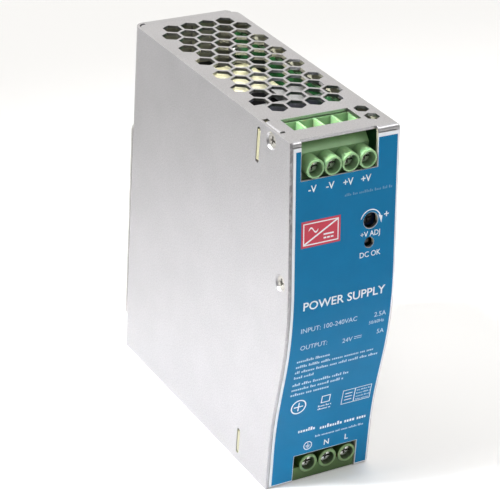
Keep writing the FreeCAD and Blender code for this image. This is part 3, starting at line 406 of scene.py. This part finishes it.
def add_piece(name, mesh, material, body):
    piece = bpy.data.objects.new(name, mesh)
    scene.collection.objects.link(piece)
    dress(piece, MATERIALS[material])
    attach(piece, body)
    return piece


# ---- print on the front label -----------------------------------------------------------

label_tree = BVHTree.FromObject(nodes["front_label"], bpy.context.evaluated_depsgraph_get())
PRINT_RAISE = 0.03 * MM          # top of the lowest print layer above the film
PRINT_ROOT = 0.02 * MM           # how far print is rooted in the film
PRINT_STEP = 1.5 * MM            # longest run up the curved panel without a vertex
CAPITAL_SHARE = 0.729            # a capital's height as a share of the font's size


def film_y(x, z):
    """Y of the label's face, or of the nearest point of the label where the film is cut."""
    point, normal, _, _ = label_tree.ray_cast(Vector((x, -80 * MM, z)), Vector((0, 1, 0)))
    if point is None or normal.y > -0.5:
        point = label_tree.find_nearest(Vector((x, -60 * MM, z)))[0]
    return point.y


def lay_on_label(flat, layer=1):
    """Bends a flat bmesh in the XZ plane round the label and gives it a thickness."""
    low = min(v.co.z for v in flat.verts)
    high = max(v.co.z for v in flat.verts)
    z = math.ceil(low / PRINT_STEP) * PRINT_STEP
    while z < high:
        bmesh.ops.bisect_plane(flat, geom=flat.verts[:] + flat.edges[:] + flat.faces[:],
                               plane_co=(0, 0, z), plane_no=(0, 0, 1))
        z += PRINT_STEP
    bmesh.ops.triangulate(flat, faces=flat.faces[:])
    for v in flat.verts:
        v.co.y = film_y(v.co.x, v.co.z) - PRINT_RAISE * layer
    flat.normal_update()
    if sum(f.normal.y * f.calc_area() for f in flat.faces) > 0:
        bmesh.ops.reverse_faces(flat, faces=flat.faces[:])
    made = bmesh.ops.extrude_face_region(flat, geom=flat.faces[:])
    face = {v for v in made["geom"] if isinstance(v, bmesh.types.BMVert)}
    for v in flat.verts:
        if v not in face:
            v.co.y += PRINT_RAISE * layer + PRINT_ROOT
    bmesh.ops.recalc_face_normals(flat, faces=flat.faces[:])
    return flat


def flat_from_curve(curve):
    """Filled mesh of a 2-D curve or text, standing in the XZ plane."""
    holder = bpy.data.objects.new("scratch", curve)
    scene.collection.objects.link(holder)
    depsgraph = bpy.context.evaluated_depsgraph_get()
    mesh = bpy.data.meshes.new_from_object(holder.evaluated_get(depsgraph))
    bpy.data.objects.remove(holder)
    made = bmesh.new()
    made.from_mesh(mesh)
    bpy.data.meshes.remove(mesh)
    bmesh.ops.remove_doubles(made, verts=made.verts[:], dist=1e-7)
    for v in made.verts:
        v.co = Vector((v.co.x, 0, v.co.y))
    return made


def outline_shape(loops):
    """2-D filled shape from closed loops of (x, z) points; later loops cut holes."""
    curve = bpy.data.curves.new("scratch", "CURVE")
    curve.dimensions = "2D"
    curve.fill_mode = "BOTH"
    for loop in loops:
        spline = curve.splines.new("POLY")
        spline.points.add(len(loop) - 1)
        for point, (x, z) in zip(spline.points, loop):
            point.co = (x, z, 0, 1)
        spline.use_cyclic_u = True
    return flat_from_curve(curve)


def rectangle(x0, x1, z0, z1):
    return [(x0, z0), (x1, z0), (x1, z1), (x0, z1)]


def circle(x, z, radius, count=40, start=0.0, end=360.0):
    """Points round a circle, or along an arc with both of its ends."""
    closed = end - start >= 360
    steps = count if closed else count + 1
    return [(x + radius * math.cos(math.radians(start + (end - start) * i / count)),
             z + radius * math.sin(math.radians(start + (end - start) * i / count)))
            for i in range(steps)]


def band(x, z, radius, width, start, end):
    """Arc stroke as one loop."""
    outer = circle(x, z, radius + width / 2, 28, start, end)
    return outer + circle(x, z, radius - width / 2, 28, start, end)[::-1]


def lettering(text, x, z, height, align="CENTER", stretch=1.0, weight=0.0):
    """Text with its middle at z and its capital height given."""
    curve = bpy.data.curves.new("scratch", "FONT")
    curve.body = text
    curve.size = height / CAPITAL_SHARE
    curve.align_x = align
    curve.offset = weight
    curve.resolution_u = 3
    made = flat_from_curve(curve)
    for v in made.verts:
        v.co.x = v.co.x * stretch + x
        v.co.z += z - height / 2
    return made


def merge(parts):
    """Gathers bmeshes into one and frees them."""
    whole = bmesh.new()
    for part in parts:
        mesh = bpy.data.meshes.new("scratch")
        part.to_mesh(mesh)
        part.free()
        whole.from_mesh(mesh)
        bpy.data.meshes.remove(mesh)
    return whole


def print_piece(name, parts, ink, layer):
    """Lays flat shapes on the label as one piece; higher layers cover lower ones."""
    whole = merge([lay_on_label(part, layer) for part in parts])
    mesh = bpy.data.meshes.new(name)
    whole.to_mesh(mesh)
    whole.free()
    return add_piece(name, mesh, ink, "case")


def mm(*values):
    return [v * MM for v in values]


def mark(strokes, width):
    """Outline shapes of straight strokes, each from one point to another, in millimetres."""
    shapes = []
    for (x0, z0), (x1, z1) in strokes:
        along = Vector((x1 - x0, z1 - z0)).normalized() * (width / 2)
        aside = Vector((-along.y, along.x))
        corners = [Vector((x0, z0)) - along - aside, Vector((x1, z1)) + along - aside,
                   Vector((x1, z1)) + along + aside, Vector((x0, z0)) - along + aside]
        shapes.append(outline_shape([[tuple(c * MM) for c in corners]]))
    return shapes


def frame_box(x0, x1, z0, z1, line):
    """Rectangle drawn with a line, in millimetres."""
    return outline_shape([rectangle(*mm(x0, x1, z0, z1)),
                          rectangle(*mm(x0 + line, x1 - line, z0 + line, z1 - line))])


def plain_lines(rows, x0, height, seed):
    """Stand-ins for lines of small print: rows of tiny plain bars, grouped like words.

    rows are (middle height, right end) pairs; x0 is the left end of all of them.
    """
    chance = random.Random(seed)
    loops = []
    for z, x1 in rows:
        x = x0
        left_in_word = chance.randint(3, 9)
        while x < x1:
            width = height * chance.uniform(0.34, 0.56)
            tall = height * chance.choice((0.62, 0.62, 0.66, 1.0))
            loops.append(rectangle(*mm(x, x + width, z - height / 2, z - height / 2 + tall)))
            x += width + height * 0.24
            left_in_word -= 1
            if left_in_word == 0:
                x += height * 0.5
                left_in_word = chance.randint(3, 9)
    return [outline_shape(loops)]


def direct_current_sign(x, z):
    """A long dash over three short ones."""
    dashes = [((x, z + 0.35), (x + 2.6, z + 0.35))]
    dashes += [((x + i, z - 0.35), (x + i + 0.6, z - 0.35)) for i in (0, 1, 2)]
    return mark(dashes, 0.22)


def plaque():
    """Red field with the usual converter symbol: alternating above, direct below a diagonal."""
    low, high = (-15.7, 90.4), (-1.45, 99.1)
    field = outline_shape([rectangle(*mm(low[0], high[0], low[1], high[1]))])
    print_piece("label_red_plaque", [field], "ink_red", 2)
    border = 0.7
    x0, x1, z0, z1 = low[0] + border, high[0] - border, low[1] + border, high[1] - border
    lines = [frame_box(x0, x1, z0, z1, 0.35)]
    lines += mark([((x0 + 0.6, z0 + 0.5), (x1 - 0.6, z1 - 0.5))], 0.5)
    sweep = [(x0 + 2.0 + 3.4 * i / 24, z1 - 2.5 + 0.8 * math.sin(2 * math.pi * i / 24))
             for i in range(25)]
    wave = [(x, z + 0.27) for x, z in sweep] + [(x, z - 0.27) for x, z in sweep[::-1]]
    lines.append(outline_shape([[tuple(mm(*p)) for p in wave]]))
    dashes = [((x1 - 5.2, z0 + 2.7), (x1 - 2.0, z0 + 2.7))]
    dots = [((x1 - 5.2 + i, z0 + 1.5), (x1 - 4.7 + i, z0 + 1.5)) for i in (0, 1.3, 2.6)]
    lines += mark(dashes, 0.5) + mark(dots, 0.5)
    print_piece("label_plaque_symbol", lines, "ink_white", 3)


def print_label():
    """Blue field, plaque, lettering, rows of small print and mark shapes, in millimetres."""
    notch_low = 112.35
    blue = [(-17.9, 1.0), (-10.1, 1.0), (-10.1, 10.5), (14.7, 10.5), (14.7, 1.0), (18.9, 1.0),
            (18.9, 122.0), (11.95, 122.0), (11.95, notch_low), (-16.15, notch_low),
            (-16.15, 122.0), (-17.9, 122.0)]
    field = [[tuple(mm(*p)) for p in blue],
             circle(*mm(9.8, 95.0, 2.8)), circle(*mm(9.4, 87.7, 1.85))]
    print_piece("label_blue_field", [outline_shape(field)], "ink_blue", 1)
    plaque()

    bold, thin = 0.05 * MM, 0.01 * MM
    white = []
    for x, sign in ((-12.0, "-V"), (-5.6, "-V"), (0.95, "+V"), (7.5, "+V")):
        white.append(lettering(sign, *mm(x, 109.5, 2.3), weight=bold))
    white.append(lettering("+V ADJ", *mm(9.75, 90.75, 1.85), weight=thin, stretch=0.95))
    white.append(lettering("DC OK", *mm(9.8, 83.9, 1.9), weight=thin, stretch=0.95))
    white.append(outline_shape([band(*mm(9.75, 94.9), 3.75 * MM, 0.34 * MM, 20, 163)]))
    arrow = [tuple(mm(*p)) for p in ((12.6, 96.5), (14.1, 95.9), (13.75, 93.6))]
    white.append(outline_shape([arrow]))
    white += mark([((14.95, 96.2), (16.25, 96.2)), ((15.6, 95.55), (15.6, 96.85))], 0.4)
    white.append(lettering("POWER SUPPLY", *mm(0.75, 70.6, 3.0), weight=0.045 * MM,
                           stretch=1.06))
    white.append(outline_shape([circle(*mm(-4.9, 13.4, 1.65)), circle(*mm(-4.9, 13.4, 1.35))]))
    white += mark([((-4.9, 13.6), (-4.9, 14.4)), ((-5.75, 13.4), (-4.05, 13.4)),
                   ((-5.45, 12.95), (-4.35, 12.95)), ((-5.1, 12.5), (-4.7, 12.5))], 0.2)
    for x, letter in ((2.4, "N"), (10.1, "L")):
        white.append(lettering(letter, *mm(x, 13.0, 2.1), weight=bold))
    white += plain_lines([(20.1, -2.4)], -9.2, 1.35, 5)
    white += plain_lines([(19.5, 16.6)], -0.8, 1.4, 6)
    print_piece("label_white_print", white, "ink_white", 2)

    pale = [lettering("INPUT: 100-240VAC", *mm(-14.7, 61.9, 1.75), align="LEFT", stretch=1.02),
            lettering("2.5A", *mm(17.4, 61.7, 1.75), align="RIGHT"),
            lettering("50/60Hz", *mm(17.0, 59.0, 1.25), align="RIGHT"),
            lettering("OUTPUT:", *mm(-14.2, 55.4, 1.75), align="LEFT", stretch=1.02),
            lettering("24V", *mm(1.7, 54.4, 1.75), align="LEFT")]
    pale += direct_current_sign(6.3, 54.5)
    pale.append(lettering("5A", *mm(17.5, 54.9, 1.75), align="RIGHT"))
    pale += plain_lines([(50.2, -2.6), (48.0, 14.6), (45.8, 16.6), (43.6, -7.4)], -14.6, 1.0, 2)
    pale += plain_lines([(40.6, 6.4), (38.5, 4.6), (36.4, 0.4)], -14.6, 1.05, 3)
    pale += plain_lines([(16.4, 16.2)], -2.3, 0.8, 4)
    print_piece("label_pale_print", pale, "ink_pale", 2)
    print_piece("label_faint_print", plain_lines([(105.2, 17.0)], -0.1, 0.9, 1), "ink_faint", 2)

    # plain shapes in the places of the approval marks
    marks = [outline_shape([circle(*mm(-10.6, 30.6, 2.9)), circle(*mm(-10.6, 30.6, 2.45))]),
             frame_box(-2.0, 1.4, 29.7, 32.7, 0.32), frame_box(6.2, 17.4, 26.8, 32.6, 0.2)]
    marks += mark([((-12.1, 30.6), (-9.1, 30.6)), ((-10.6, 29.1), (-10.6, 32.1))], 0.42)
    marks += mark([((11.0, 27.0), (11.0, 32.4)), ((7.4, 28.4), (9.9, 28.4)),
                   ((7.4, 29.7), (9.9, 29.7)), ((7.4, 31.0), (9.9, 31.0))], 0.3)
    marks += plain_lines([(28.6, 2.2), (27.4, 1.8)], -2.8, 0.7, 7)
    print_piece("label_mark_shapes", marks, "ink_white", 2)
    small = plain_lines([(z, 16.9) for z in (31.4, 30.1, 28.8, 27.6)], 11.7, 0.55, 8)
    print_piece("label_mark_lines", small, "ink_pale", 2)


print_label()


# ---- small parts inside the case --------------------------------------------------------

BOARD_FACE, BOARD_BACK = 15.4, 17.0      # faces of the main board along X, in millimetres


class Solid:
    """Closed shapes gathered into one mesh; all sizes in millimetres."""

    def __init__(self):
        self.points = []
        self.faces = []

    def skin(self, rings, closed_path=False):
        """Joins rings of equal length; ends are capped unless the path closes on itself."""
        base, sides = len(self.points), len(rings[0])
        for ring in rings:
            self.points += [Vector(p) * MM for p in ring]
        count = len(rings)
        for i in range(count if closed_path else count - 1):
            low, high = base + i * sides, base + (i + 1) % count * sides
            for k in range(sides):
                n = (k + 1) % sides
                self.faces.append((low + k, low + n, high + n, high + k))
        if not closed_path:
            self.faces.append(tuple(range(base + sides - 1, base - 1, -1)))
            self.faces.append(tuple(range(base + (count - 1) * sides, base + count * sides)))

    def wire(self, path, radius):
        """Round wire along a path."""
        path = [Vector(p) for p in path]
        angles = [2 * math.pi * k / 8 for k in range(8)]
        rings, aside = [], None
        for i, p in enumerate(path):
            along = (path[min(i + 1, len(path) - 1)] - path[max(i - 1, 0)]).normalized()
            if aside is None:
                aside = along.orthogonal()
            aside = (aside - along * aside.dot(along)).normalized()
            third = along.cross(aside)
            rings.append([p + (aside * math.cos(a) + third * math.sin(a)) * radius
                          for a in angles])
        self.skin(rings)

    def lathe(self, axis, at, profile, sides=16, closed=False):
        """Turned shape from (radius, place along the axis) pairs; at is in the other two axes.

        closed joins the last pair to the first, for a ring with a hole through it.
        """
        rings = []
        for radius, place in profile:
            ring = []
            for k in range(sides):
                a = 2 * math.pi * k / sides
                u, v = at[0] + radius * math.cos(a), at[1] + radius * math.sin(a)
                ring.append({"x": (place, u, v), "y": (u, place, v), "z": (u, v, place)}[axis])
            rings.append(ring)
        self.skin(rings, closed)

    def slab(self, x, y, z, cut):
        """Block with all its edges bevelled."""
        outline = [(y[0] + cut, z[0]), (y[1] - cut, z[0]),
                   (y[1], z[0] + cut), (y[1], z[1] - cut),
                   (y[1] - cut, z[1]), (y[0] + cut, z[1]),
                   (y[0], z[1] - cut), (y[0], z[0] + cut)]
        inner = [(y0 + (sum(y) / 2 - y0) * cut / 2, z0 + (sum(z) / 2 - z0) * cut / 2)
                 for y0, z0 in outline]
        self.skin([[(x[0], *p) for p in inner], [(x[0] + cut, *p) for p in outline],
                   [(x[1] - cut, *p) for p in outline], [(x[1], *p) for p in inner]])

    def piece(self, name, material, slot, smooth=True):
        """Makes an object of what is gathered; edges over 40 degrees stay sharp."""
        mesh = bpy.data.meshes.new(name)
        mesh.from_pydata(self.points, [], self.faces)
        made = bmesh.new()
        made.from_mesh(mesh)
        bmesh.ops.recalc_face_normals(made, faces=made.faces[:])
        for face in made.faces:
            face.smooth = smooth
        for edge in made.edges:
            edge.smooth = edge.calc_face_angle(0) < math.radians(40)
        made.to_mesh(mesh)
        made.free()
        return add_piece(name, mesh, material, "case")


def squared(value):
    """Pushes a sine towards square, for wire that hugs a rectangular core."""
    return math.copysign(abs(value) ** 0.45, value)


def toroid_turns(solid, centre, x, r, wire, start, end, turns):
    """Wire wound round a ring core, from one angle to another, with its ends in the board.

    x and r are the spans of the wire's centreline, along the core's axis and from it.
    """
    steps = 28
    path = []
    for i in range(turns * steps + 1):
        turn = i / steps
        around = math.radians(start + (end - start) * turn / turns)
        u = 2 * math.pi * turn + math.pi / 2
        radius = sum(r) / 2 + (r[1] - r[0]) / 2 * squared(math.cos(u))
        place = sum(x) / 2 + (x[1] - x[0]) / 2 * squared(math.sin(u))
        path.append((place, centre[0] + radius * math.cos(around),
                     centre[1] + radius * math.sin(around)))
    first, last = path[0], path[-1]
    path = [(BOARD_FACE + 0.4, *first[1:])] + path + [(BOARD_FACE + 0.4, *last[1:])]
    solid.wire(path, wire)


def wound_parts():
    """Two windings on the choke's core, and the output inductor with its core."""
    turns = Solid()
    for start, end in ((17, 163), (197, 343)):
        toroid_turns(turns, (-12.0, 32.0), (1.2, 12.8), (5.2, 10.8), 0.65, start, end, 10)
    piece = turns.piece("choke_turns", "copper_wire", "copper_wire")
    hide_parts("choke_windings")
    inductor = (-26.0, 62.0)
    coil = Solid()
    toroid_turns(coil, inductor, (3.75, 13.25), (4.75, 9.75), 0.72, -165, 165, 17)
    piece = coil.piece("output_inductor_turns", "copper_wire", "copper_wire")
    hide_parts("output_inductor")
    core = Solid()
    core.lathe("x", inductor, [(5.6, 4.9), (5.9, 4.6), (8.6, 4.6), (8.9, 4.9), (8.9, 12.1),
                               (8.6, 12.4), (5.9, 12.4), (5.6, 12.1)], 40, closed=True)
    core.piece("output_inductor_core", "powder_core", "ferrite")


def spring_coil():
    """Latch spring with closed ends, built at one length; the real one shortens as the latch is
    pulled down its window.
    """
    low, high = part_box("latch_spring")
    wire = 0.2
    y, radius = (low[1] + high[1]) / 2 / MM, (high[0] - low[0]) / 2 / MM - wire
    z = low[2] / MM + wire, high[2] / MM - wire
    turns, steps = 11, 24
    closed, closed_pitch = 1.25, 0.42        # turns that touch at each end, and their pitch
    open_length = z[1] - z[0] - 2 * closed * closed_pitch
    coil = Solid()
    path = []
    for i in range(turns * steps + 1):
        turn = i / steps
        middle = min(max((turn - closed) / (turns - 2 * closed), 0), 1)
        ends = min(turn, closed) + max(turn - turns + closed, 0)
        place = z[0] + closed_pitch * ends + open_length * middle
        a = 2 * math.pi * turn
        path.append((radius * math.cos(a), y + radius * math.sin(a), place))
    coil.wire(path, wire)
    piece = coil.piece("latch_spring_coil", "spring_wire", "spring_wire")
    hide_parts("latch_spring")
    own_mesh(piece)


def winding_outline(grow):
    """Outline of the transformer's winding in XZ, grown outwards, with round corners."""
    corner = 1.8
    x = -11.2 - grow + corner, 9.2 + grow - corner
    z = 84.8 - grow + corner, 118.4 + grow - corner
    loop = []
    for cx, cz, first in ((x[1], z[1], 0), (x[0], z[1], 90),
                          (x[0], z[0], 180), (x[1], z[0], 270)):
        for i in range(5):
            a = math.radians(first + i * 22.5)
            loop.append((cx + corner * math.cos(a), cz + corner * math.sin(a)))
    return loop


def transformer_tape():
    """Outer turns of tape: two edge wraps with a wider one over them."""
    bands = Solid()
    for y, grow in (((0.2, 8.6), 0.07), ((15.2, 23.4), 0.07), ((7.4, 16.4), 0.16)):
        outer, inner = winding_outline(grow), winding_outline(-0.1)
        rings = [[(p[0], y[0], p[1]) for p in inner], [(p[0], y[0], p[1]) for p in outer],
                 [(p[0], y[1], p[1]) for p in outer], [(p[0], y[1], p[1]) for p in inner]]
        bands.skin(rings, closed_path=True)
    bands.piece("transformer_tape", "winding_tape", "winding_tape")


# capacitors on the board: (y, z, radius, length)
CANS = [(-19.0, 113.0, 6.3, 25.0), (-19.0, 99.6, 6.3, 25.0), (-19.0, 86.2, 6.3, 25.0),
        (14.0, 44.0, 12.5, 30.0)]
# axial resistors on the board: (y, z of the middle, radius)
RESISTORS = [(45.6, 28.0, 1.1), (45.6, 43.0, 1.1), (45.6, 58.0, 1.4), (45.6, 73.0, 1.1),
             (33.0, 104.0, 1.1), (20.0, 10.5, 1.4), (-4.0, 11.5, 1.1), (-18.0, 11.5, 1.1),
             (-2.6, 73.0, 1.1), (27.5, 72.0, 1.1)]


def capacitor_details():
    """Scored metal tops that show inside the shrunk sleeve, and a pale polarity stripe."""
    tops, stripes = Solid(), Solid()
    for y, z, radius, length in CANS:
        top = BOARD_FACE - length
        reach = radius - max(1.0, radius / 6) - 0.15
        half = math.radians(45 - 90 * 0.14 / reach)      # leaves a score between the quarters
        for quarter in range(4):
            middle = math.radians(45 + 90 * quarter)
            arc = [middle - half + 2 * half * i / 8 for i in range(9)]
            outline = [(y + 0.3 * math.cos(middle), z + 0.3 * math.sin(middle))]
            outline += [(y + reach * math.cos(a), z + reach * math.sin(a)) for a in arc]
            tops.skin([[(top - 0.12, *p) for p in outline], [(top + 0.1, *p) for p in outline]])
        outline = (circle(y, z, radius + 0.05, 10, 200, 242)
                   + circle(y, z, radius - 0.1, 10, 200, 242)[::-1])
        stripes.skin([[(place, *p) for p in outline] for place in (top + 2.0, BOARD_FACE - 4.2)])
    tops.piece("capacitor_tops", "can_metal", "capacitor_sleeve", smooth=False)
    stripes.piece("capacitor_stripes", "stripe_print", "capacitor_sleeve")


def rear_shade_film():
    """Dark film on the inside of the rear wall, dog-eared at its corners: painted shade, a dark
    sheet that stands in for the shade deep in the case.
    """
    film = Solid()
    outline = [(-15.0, 9.0), (-12.0, 6.0), (11.0, 6.0), (14.0, 9.0), (14.0, 105.0),
               (11.0, 108.0), (-12.0, 108.0), (-15.0, 105.0)]
    film.skin([[(x * narrower, y, z) for x, z in outline]
               for y, narrower in ((51.3, 1), (51.42, 0.996), (51.57, 0.992), (51.58, 0.988))])
    film.piece("rear_shade_film", "insulation_film", "insulation_film", smooth=False)


def soldering():
    """Solder cones with clipped leads on the back of the board, at (y, z) spots."""
    spots = [(y + s * radius * 0.4, z) for y, z, radius, _ in CANS for s in (-1, 1)]
    spots += [(y, z) for y in (-0.6, 24.2) for z in (86.0, 89.8, 93.6, 109.4, 113.2, 117.0)]
    spots += [(38.0, z + 0.45) for z in (28.0, 33.0, 38.0, 43.0)]
    spots += [(y, z + dz) for y, z in ((31.8, 70.0), (-8.4, 64.0)) for dz in (1.6, 4.5, 7.4)]
    spots += [(-41.0, 41.5), (-41.0, 58.5), (-38.0, 70.5), (-38.0, 77.5), (6.5, 17.5),
              (6.5, 22.5)]
    spots += [(-27.7, 15.0), (-27.7, 35.0), (35.0, 24.0), (35.0, 60.0), (35.0, 90.0)]
    for y, z, _ in RESISTORS:
        spots += [(y, z - 5.0), (y, z + 5.0)]
    cones = Solid()
    for at in spots:
        cones.lathe("x", at, [(0.3, 16.9), (1.15, 16.95), (1.15, 17.03), (0.75, 17.3),
                              (0.45, 17.8), (0.4, 18.3), (0.25, 18.4)], 12)
    cones.piece("solder_joints", "solder", "circuit_board")


def board_parts():
    """Axial resistors and bare wire links on the face, chip parts on the back."""
    bodies, bands, leads = Solid(), Solid(), Solid()
    pin_end = BOARD_FACE + 0.4
    for y, z, r in RESISTORS:
        x = BOARD_FACE - r - 0.4
        waist = r * 0.86
        half = [(waist, 1.3), (r, 1.7), (r, 2.6), (r * 0.85, 3.0), (0.4, 3.2)]
        bodies.lathe("z", (x, y), [(radius, z - dz) for radius, dz in half[::-1]]
                     + [(radius, z + dz) for radius, dz in half])
        for dz, size in ((-2.15, r), (-0.7, waist), (0.2, waist), (2.15, r)):
            low, high = z + dz - 0.25, z + dz + 0.25
            bands.lathe("z", (x, y), [(size - 0.1, low), (size + 0.04, low),
                                      (size + 0.04, high), (size - 0.1, high)])
        for s in (-1, 1):
            leads.wire([(x, y, z + s * 3.0), (x, y, z + s * 4.4), (x + 0.25, y, z + s * 4.85),
                        (x + 0.8, y, z + s * 5.0), (pin_end, y, z + s * 5.0)], 0.32)
    top = BOARD_FACE - 0.9
    for y, z, span in ((11.0, 64.0, 10.0), (-8.0, 50.0, 12.0), (30.5, 30.0, 9.0),
                       (30.5, 12.0, 7.0), (-22.0, 42.0, 8.0), (-36.0, 96.0, 12.0)):
        leads.wire([(pin_end, y, z), (top + 0.25, y, z), (top, y, z + 0.3),
                    (top, y, z + span - 0.3), (top + 0.25, y, z + span), (pin_end, y, z + span)],
                   0.35)
    bodies.piece("resistor_bodies", "resistor_body", "small_package")
    bands.piece("resistor_bands", "resistor_band", "small_package")
    leads.piece("board_leads", "solder", "circuit_board")

    chips, ends = Solid(), Solid()
    foot = BOARD_BACK - 0.02
    for column in range(9):
        for row in range(4):
            y, z = 4.0 + row * 3.4, 48.0 + column * 3.6
            if (column * 3 + row * 5) % 7 in (2, 5):     # empty places in the grid
                continue
            chips.slab((foot, BOARD_BACK + 0.55), (y, y + 1.25), (z + 0.35, z + 1.65), 0.05)
            for z0 in (z, z + 1.6):
                ends.slab((foot, BOARD_BACK + 0.62), (y - 0.03, y + 1.28), (z0, z0 + 0.4), 0.05)
    chips.piece("chip_bodies", "small_package", "small_package", smooth=False)
    ends.piece("chip_ends", "solder", "small_package", smooth=False)


MATERIALS["powder_core"] = plastic("powder_core", (0.42, 0.40, 0.05), 0.45, 0.12, 1800, 0.01)
MATERIALS["can_metal"] = turned_metal("can_metal", (0.78, 0.79, 0.80), 0.35)
MATERIALS["stripe_print"] = plastic("stripe_print", (0.42, 0.46, 0.52), 0.35, 0.05)
MATERIALS["solder"] = turned_metal("solder", (0.72, 0.73, 0.74), 0.28, tint=0.2)
MATERIALS["resistor_body"] = plastic("resistor_body", (0.36, 0.24, 0.12), 0.4, 0.08)
MATERIALS["resistor_band"] = plastic("resistor_band", (0.09, 0.02, 0.01), 0.4, 0.3)
wound_parts()
spring_coil()
transformer_tape()
rear_shade_film()
capacitor_details()
soldering()
board_parts()


# ---- camera, floor and light ------------------------------------------------------------

AZIMUTH, ELEVATION, ROLL = (math.radians(v) for v in (-31.53, 27.79, 3.85))
CAMERA_AT = (-0.3100, -0.5044, 0.3721)
back = Vector((math.sin(AZIMUTH) * math.cos(ELEVATION),
               -math.cos(AZIMUTH) * math.cos(ELEVATION), math.sin(ELEVATION)))
level = Vector((math.cos(AZIMUTH), math.sin(AZIMUTH), 0))
upright = back.cross(level)
right = level * math.cos(ROLL) + upright * math.sin(ROLL)
up = back.cross(right)
camera = bpy.data.objects.new("camera", bpy.data.cameras.new("camera"))
scene.collection.objects.link(camera)
camera.matrix_world = Matrix((
    (right.x, up.x, back.x, CAMERA_AT[0]), (right.y, up.y, back.y, CAMERA_AT[1]),
    (right.z, up.z, back.z, CAMERA_AT[2]), (0, 0, 0, 1)))
camera.data.sensor_width = 36.0
camera.data.lens = 141.88
camera.data.clip_start = 0.01
camera.data.clip_end = 50.0
scene.camera = camera

floor_mesh = bpy.data.meshes.new("floor")
floor_mesh.from_pydata([(-6, -6, 0), (6, -6, 0), (6, 6, 0), (-6, 6, 0)], [], [(0, 1, 2, 3)])
floor = bpy.data.objects.new("floor", floor_mesh)
scene.collection.objects.link(floor)
dress(floor, Shader("floor", (0.92, 0.92, 0.92), 0.6).material)


def area_light(name, at, target, size, power, spread=180):
    """Soft box that faces a point; power is in watts and spread in degrees."""
    data = bpy.data.lights.new(name, "AREA")
    data.shape = "RECTANGLE"
    data.size, data.size_y = size
    data.energy = power
    data.spread = math.radians(spread)
    light = bpy.data.objects.new(name, data)
    scene.collection.objects.link(light)
    light.location = at
    light.rotation_euler = (Vector(target) - Vector(at)).to_track_quat("-Z", "Y").to_euler()


# overhead is the main softbox; back_left lights the left edges, front_right the label and the
# top front bend, and front_left the terminals; floor_left lights the floor that the left wall
# mirrors, and top_left reaches in through the vents
area_light("overhead", (0.15, 0.3, 1.3), (0, 0, 0.06), (1.2, 1.2), 3.5)
area_light("back_left", (-0.9, 1.3, 0.85), (0, 0, 0.06), (0.9, 0.6), 5)
area_light("front_right", (0.75, -0.8, 1.2), (0, 0, 0.06), (0.7, 0.7), 6.5)
area_light("front_left", (-0.45, -0.7, 0.6), (0, -0.05, 0.06), (0.25, 0.25), 1.2)
area_light("floor_left", (-0.28, 0.04, 0.36), (-0.06, 0.0, 0), (0.16, 0.16), 0.20, 60)
area_light("top_left", (-0.48, 0.12, 0.66), (0, 0.01, 0.12), (0.14, 0.14), 0.45, 35)


def studio_world(bright, dim):
    """Pale surroundings that fall off towards the side that the camera stands on."""
    world = bpy.data.worlds.new("studio")
    scene.world = world
    world.use_nodes = True
    tree = world.node_tree
    where = tree.nodes.new("ShaderNodeTexCoord").outputs["Generated"]
    side = tree.nodes.new("ShaderNodeVectorMath")
    side.operation = "DOT_PRODUCT"
    side.inputs[1].default_value = back
    tree.links.new(where, side.inputs[0])
    fall = tree.nodes.new("ShaderNodeMapRange")
    fall.interpolation_type = "SMOOTHSTEP"
    span = {"From Min": -0.4, "From Max": 0.9, "To Min": bright, "To Max": dim}
    for name, value in span.items():
        fall.inputs[name].default_value = value
    tree.links.new(side.outputs["Value"], fall.inputs["Value"])
    tree.links.new(fall.outputs["Result"], tree.nodes["Background"].inputs["Strength"])
    tree.nodes["Background"].inputs["Color"].default_value = (1.0, 0.978, 0.94, 1)


studio_world(1.2, 0.15)

scene.view_settings.view_transform = "Standard"
scene.view_settings.look = "None"
